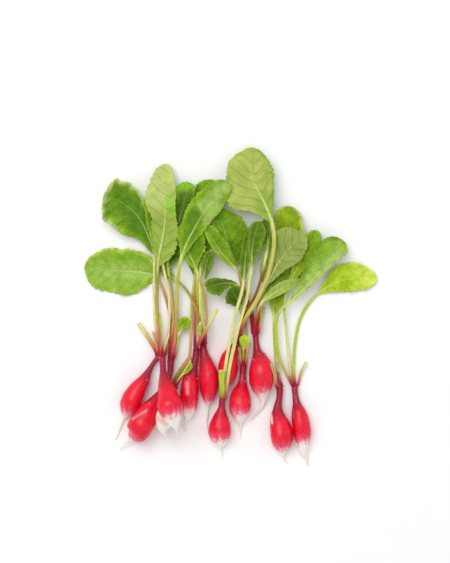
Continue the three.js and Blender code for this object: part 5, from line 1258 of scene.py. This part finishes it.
def root_surface(streaks):
    """Red skin that ends in streaks and speckles on the white part, with a dark neck and a dull tail."""
    def wire(t, shader):
        place = t.attribute("place", "Vector")
        past = t.attribute("past_red")
        lengthwise = t.group(streaks, {"Place": t.stretched(place, (1.0, 1.0, 0.12)), "Along": 2.0}).outputs
        coarse = t.noise(t.stretched(place, (0.42, 0.42, 0.05)), 1.0, 2.0)
        jag = t.maths("MULTIPLY", t.maths("SUBTRACT", lengthwise["Streaks"], 0.5), 11.0)
        jag = t.maths("MULTIPLY_ADD", t.maths("SUBTRACT", coarse, 0.5), 12.0, jag)
        border = t.maths("ADD", past, jag)
        red = t.mix(t.between(t.noise(place, 0.13, 3.0), 0.25, 0.75), ROOT_DEEP, ROOT_BRIGHT)
        neck = t.maths("SUBTRACT", 1.0, t.between(t.attribute("from_shoulder"), -9.0, 5.0))
        pale = t.maths("MULTIPLY", t.between(lengthwise["Streaks"], 0.56, 0.7), 0.35)
        pale_streak = t.mix(pale, ROOT_NECK, ROOT_BLUSH)
        red = t.mix(t.maths("MULTIPLY", neck, 0.9), red, pale_streak)
        blush = t.mix(t.between(border, -8.0, 2.0, 0.0, 0.9), red, ROOT_BLUSH)
        dots = t.node("ShaderNodeTexVoronoi", {"Vector": t.stretched(place, (0.7, 0.7, 0.9)), "Scale": 0.8})
        speckle = t.maths("SUBTRACT", 1.0, t.between(dots.outputs["Distance"], 0.12, 0.3))
        before = t.maths("SUBTRACT", 1.0, t.between(border, 1.0, 5.0))
        zone = t.maths("MULTIPLY", t.between(border, -8.0, -1.0), before)
        speckled = t.maths("MULTIPLY", speckle, zone)
        white = t.between(t.maths("MULTIPLY_ADD", speckled, 1.2, border), -2.0, 4.5)
        skin_tint = t.mix(white, blush, ROOT_WHITE)
        tail = t.between(t.attribute("past_body"), 0.0, 16.0, 0.0, 0.8)
        skin_tint = t.mix(tail, skin_tint, ROOT_TAIL)
        torn = t.between(t.noise(place, 1.1, 3.0), 0.3, 0.6, 0.35, 1.0)
        scar = t.maths("MULTIPLY", t.attribute("scar"), torn)
        skin_tint = t.mix(scar, skin_tint, t.attribute("scar_tint", "Color"))
        t.tree.links.new(skin_tint, shader.inputs["Base Color"])
        rings = t.noise(t.stretched(place, (0.25, 0.25, 1.7)), 1.0, 3.0)
        height = t.maths("MULTIPLY_ADD", rings, 0.6, t.noise(place, 1.2, 4.0))
        height = t.maths("MULTIPLY_ADD", scar, -1.5, height)
        bump = t.node("ShaderNodeBump", {"Height": height, "Strength": 0.3, "Distance": 0.3 * MM})
        t.tree.links.new(bump.outputs[0], shader.inputs["Normal"])
        t.tree.links.new(t.between(t.noise(place, 0.6), 0.3, 0.7, 0.22, 0.36), shader.inputs["Roughness"])
        shader.inputs["Specular IOR Level"].default_value = 0.4
        shader.inputs["Subsurface Weight"].default_value = 0.12
        shader.inputs["Subsurface Radius"].default_value = (1.0, 0.35, 0.25)
        shader.inputs["Subsurface Scale"].default_value = 1.5 * MM
    return surface("root skin", wire)


def cut_surface():
    """The dry, pale end of a cut stalk."""
    def wire(t, shader):
        place = t.attribute("place", "Vector")
        grain = t.between(t.noise(place, 2.0, 4.0), 0.35, 0.7)
        colour = t.mix(grain, paint(PAINTS["tan"]), paint(PAINTS["cream"]))
        t.tree.links.new(colour, shader.inputs["Base Color"])
        height = t.noise(place, 3.0)
        bump = t.node("ShaderNodeBump", {"Height": height, "Strength": 0.6, "Distance": 0.3 * MM})
        t.tree.links.new(bump.outputs[0], shader.inputs["Normal"])
        shader.inputs["Roughness"].default_value = 0.6
    return surface("cut stalk end", wire)


# Bristles and fine rootlets

def hair_nodes():
    """Grows short bent hairs on a surface, where its attribute "hairy" is above zero."""
    tree = bpy.data.node_groups.new("bent hairs", "GeometryNodeTree")
    face = tree.interface
    face.new_socket(name="Surface", in_out="INPUT", socket_type="NodeSocketGeometry")
    for key, kind in (("Hairs per square metre", "Float"), ("Length", "Float"), ("Thickness", "Float"),
                      ("Lean", "Float"), ("Seed", "Int"), ("Hair material", "Material")):
        face.new_socket(name=key, in_out="INPUT", socket_type="NodeSocket" + kind)
    face.new_socket(name="Surface", in_out="OUTPUT", socket_type="NodeSocketGeometry")
    t = Tree(tree)
    given = t.node("NodeGroupInput").outputs
    out = t.node("NodeGroupOutput")
    hairy = t.node("GeometryNodeInputNamedAttribute", {"Name": "hairy"}, data_type="FLOAT")
    density = t.maths("MULTIPLY", hairy.outputs["Attribute"], given["Hairs per square metre"])
    spots = t.node("GeometryNodeDistributePointsOnFaces", {"Mesh": given["Surface"], "Density": density,
                   "Seed": given["Seed"]}, distribute_method="RANDOM")
    line = t.node("GeometryNodeCurveQuadraticBezier", {"Resolution": 5, "Start": (0, 0, 0),
                  "Middle": (0.1, 0, 0.6), "End": (0.55, 0, 1.0)}).outputs["Curve"]
    along = t.node("GeometryNodeSplineParameter").outputs["Factor"]
    profile = t.node("GeometryNodeCurvePrimitiveCircle", {"Resolution": 3, "Radius": 1.0}).outputs["Curve"]
    narrowing = t.between(along, 0.0, 1.0, 1.0, 0.2)
    taper = t.node("GeometryNodeSetCurveRadius", {"Curve": line, "Radius": narrowing})
    share = t.maths("DIVIDE", given["Thickness"], given["Length"])
    thin = t.node("GeometryNodeTransform", {"Geometry": profile, "Scale": t.node("ShaderNodeCombineXYZ",
                  {"X": share, "Y": share, "Z": share}).outputs[0]}).outputs[0]
    hair = t.node("GeometryNodeCurveToMesh", {"Curve": taper.outputs[0], "Profile Curve": thin}).outputs[0]
    lean = t.node("ShaderNodeCombineXYZ", {"X": given["Lean"], "Y": given["Lean"], "Z": math.pi}).outputs[0]
    less = t.node("ShaderNodeVectorMath", {0: lean, 1: (-1, -1, -1)}, operation="MULTIPLY").outputs[0]
    turn = t.node("FunctionNodeRandomValue", data_type="FLOAT_VECTOR")
    tree.links.new(less, turn.inputs[0])
    tree.links.new(lean, turn.inputs[1])
    tree.links.new(given["Seed"], turn.inputs["Seed"])
    euler = t.node("FunctionNodeEulerToRotation", {0: turn.outputs[0]}).outputs[0]
    rotation = t.node("FunctionNodeRotateRotation", {"Rotation": spots.outputs["Rotation"],
                      "Rotate By": euler}, rotation_space="LOCAL").outputs[0]
    size = t.node("FunctionNodeRandomValue", data_type="FLOAT")
    tree.links.new(t.maths("MULTIPLY", given["Length"], 0.5), size.inputs[2])
    tree.links.new(given["Length"], size.inputs[3])
    tree.links.new(given["Seed"], size.inputs["Seed"])
    placed_hairs = t.node("GeometryNodeInstanceOnPoints", {"Points": spots.outputs["Points"],
                          "Instance": hair, "Rotation": rotation, "Scale": size.outputs[1]}).outputs[0]
    real = t.node("GeometryNodeRealizeInstances", {0: placed_hairs}).outputs[0]
    at = t.node("ShaderNodeSeparateXYZ", {0: t.node("GeometryNodeInputPosition").outputs[0]}).outputs
    height = t.maths("MAXIMUM", at[2], LOWEST_SKIN * MM)
    above = t.node("ShaderNodeCombineXYZ", {"X": at[0], "Y": at[1], "Z": height})
    laid = t.node("GeometryNodeSetPosition", {"Geometry": real, "Position": above.outputs[0]}).outputs[0]
    coat = {"Geometry": laid, "Material": given["Hair material"]}
    clad = t.node("GeometryNodeSetMaterial", coat).outputs[0]
    join = t.node("GeometryNodeJoinGeometry")
    tree.links.new(clad, join.inputs[0])
    tree.links.new(given["Surface"], join.inputs[0])
    tree.links.new(join.outputs[0], out.inputs[0])
    return tree


def grow_hairs(made, hairs, density, length, thickness, lean, seed, material):
    """Adds the hairs to a piece and keeps them as plain mesh."""
    grower = made.modifiers.new("hairs", "NODES")
    grower.node_group = hairs
    wanted = {"Hairs per square metre": density, "Length": length, "Thickness": thickness, "Lean": lean,
              "Seed": seed, "Hair material": material}
    for item in hairs.interface.items_tree:
        if item.in_out == "INPUT" and item.name in wanted:
            grower[item.identifier] = wanted[item.name]
    seen = made.evaluated_get(bpy.context.evaluated_depsgraph_get())
    mesh = bpy.data.meshes.new_from_object(seen)
    made.modifiers.remove(grower)
    bare, made.data = made.data, mesh
    mesh.name = made.name
    bpy.data.meshes.remove(bare)


def plain_surface(name, low, high, roughness):
    """A dull material that wanders between two paints."""
    def wire(t, shader):
        place = t.node("ShaderNodeTexCoord").outputs["Object"]
        shades = t.mix(t.noise(place, 300.0), paint(PAINTS[low]), paint(PAINTS[high]))
        t.tree.links.new(shades, shader.inputs["Base Color"])
        shader.inputs["Roughness"].default_value = roughness
    return surface(name, wire)


# The bunch

veins = vein_group()
streaks = streak_group()
leaf_top = leaf_surface("leaf upper side", veins, -1.2, 0.4, (1.4, 1.3, 1.8, 1), 0.6, 0.5, 0.46)
leaf_under = leaf_surface("leaf underside", veins, 1.5, 0.45, (0.78, 0.84, 0.62, 1), 0.9, 0.25, 0.58)
root_skin = root_surface(streaks)
cut_end = cut_surface()

hairs = hair_nodes()
rootlet = plain_surface("fine rootlet", "cream", "white", 0.6)
bristle = plain_surface("leaf bristle", "rim", "cream", 0.5)

crowns = {}
for number, (name, points) in enumerate(ROOTS.items()):
    made, crowns[name] = make_root(name, points, [root_skin])
    grow_hairs(made, hairs, ROOTLETS, ROOTLET_LENGTH, ROOTLET_THICKNESS, ROOTLET_LEAN, number, rootlet)
    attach(made, "root")
    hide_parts(name)
for number, (name, leaf) in enumerate(LEAVES.items()):
    made = make_leaf(name, leaf, crowns[leaf["on"]], [leaf_top, leaf_under, cut_end])
    grow_hairs(made, hairs, BRISTLES, BRISTLE_LENGTH, BRISTLE_THICKNESS, BRISTLE_LEAN, number, bristle)
    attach(made, "root")
    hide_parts(name)


# Floor, light and camera

def make_floor():
    mesh = bpy.data.meshes.new("pale floor")
    corners = [(x * FLOOR_HALF, y * FLOOR_HALF, 0) for x, y in ((-1, -1), (1, -1), (1, 1), (-1, 1))]
    mesh.from_pydata(corners, [], [(0, 1, 2, 3)])
    floor = bpy.data.objects.new("pale_floor", mesh)
    bpy.context.scene.collection.objects.link(floor)

    def wire(t, shader):
        place = t.node("ShaderNodeTexCoord").outputs["Object"]
        low, high = ((shade, shade, shade, 1) for shade in FLOOR_TINTS)
        t.tree.links.new(t.mix(t.noise(place, 40.0), low, high), shader.inputs["Base Color"])
        shader.inputs["Roughness"].default_value = 0.8
        shader.inputs["Specular IOR Level"].default_value = 0.1
    mesh.materials.append(surface("pale floor", wire))
    return floor


make_floor()


def add_light(name, place, size, power):
    """A round lamp that points at the origin."""
    data = bpy.data.lights.new(name, "AREA")
    data.shape, data.size, data.energy = "DISK", size, power
    lamp = bpy.data.objects.new(name, data)
    bpy.context.scene.collection.objects.link(lamp)
    lamp.location = place
    lamp.rotation_mode = "QUATERNION"
    lamp.rotation_quaternion = (-Vector(place)).to_track_quat("-Z", "Y")


add_light("big soft light", KEY_PLACE, KEY_SIZE, KEY_POWER)
world = bpy.data.worlds.new("studio white")
bpy.context.scene.world = world
world.use_nodes = True
world.node_tree.nodes["Background"].inputs["Color"].default_value = (1, 1, 1, 1)
world.node_tree.nodes["Background"].inputs["Strength"].default_value = WORLD_LIGHT
bpy.context.scene.view_settings.view_transform = "Standard"

camera_data = bpy.data.cameras.new("camera above")
camera = bpy.data.objects.new("camera above", camera_data)
bpy.context.scene.collection.objects.link(camera)
bpy.context.scene.camera = camera
camera_data.lens = FILM_WIDTH * CAMERA_HEIGHT / (PHOTO_HEIGHT * MM_PER_PIXEL * MM)
camera.location = ((PHOTO_CENTRE[0] - ORIGIN_U) * MM_PER_PIXEL * MM,
                   (ORIGIN_V - PHOTO_CENTRE[1]) * MM_PER_PIXEL * MM, CAMERA_HEIGHT)
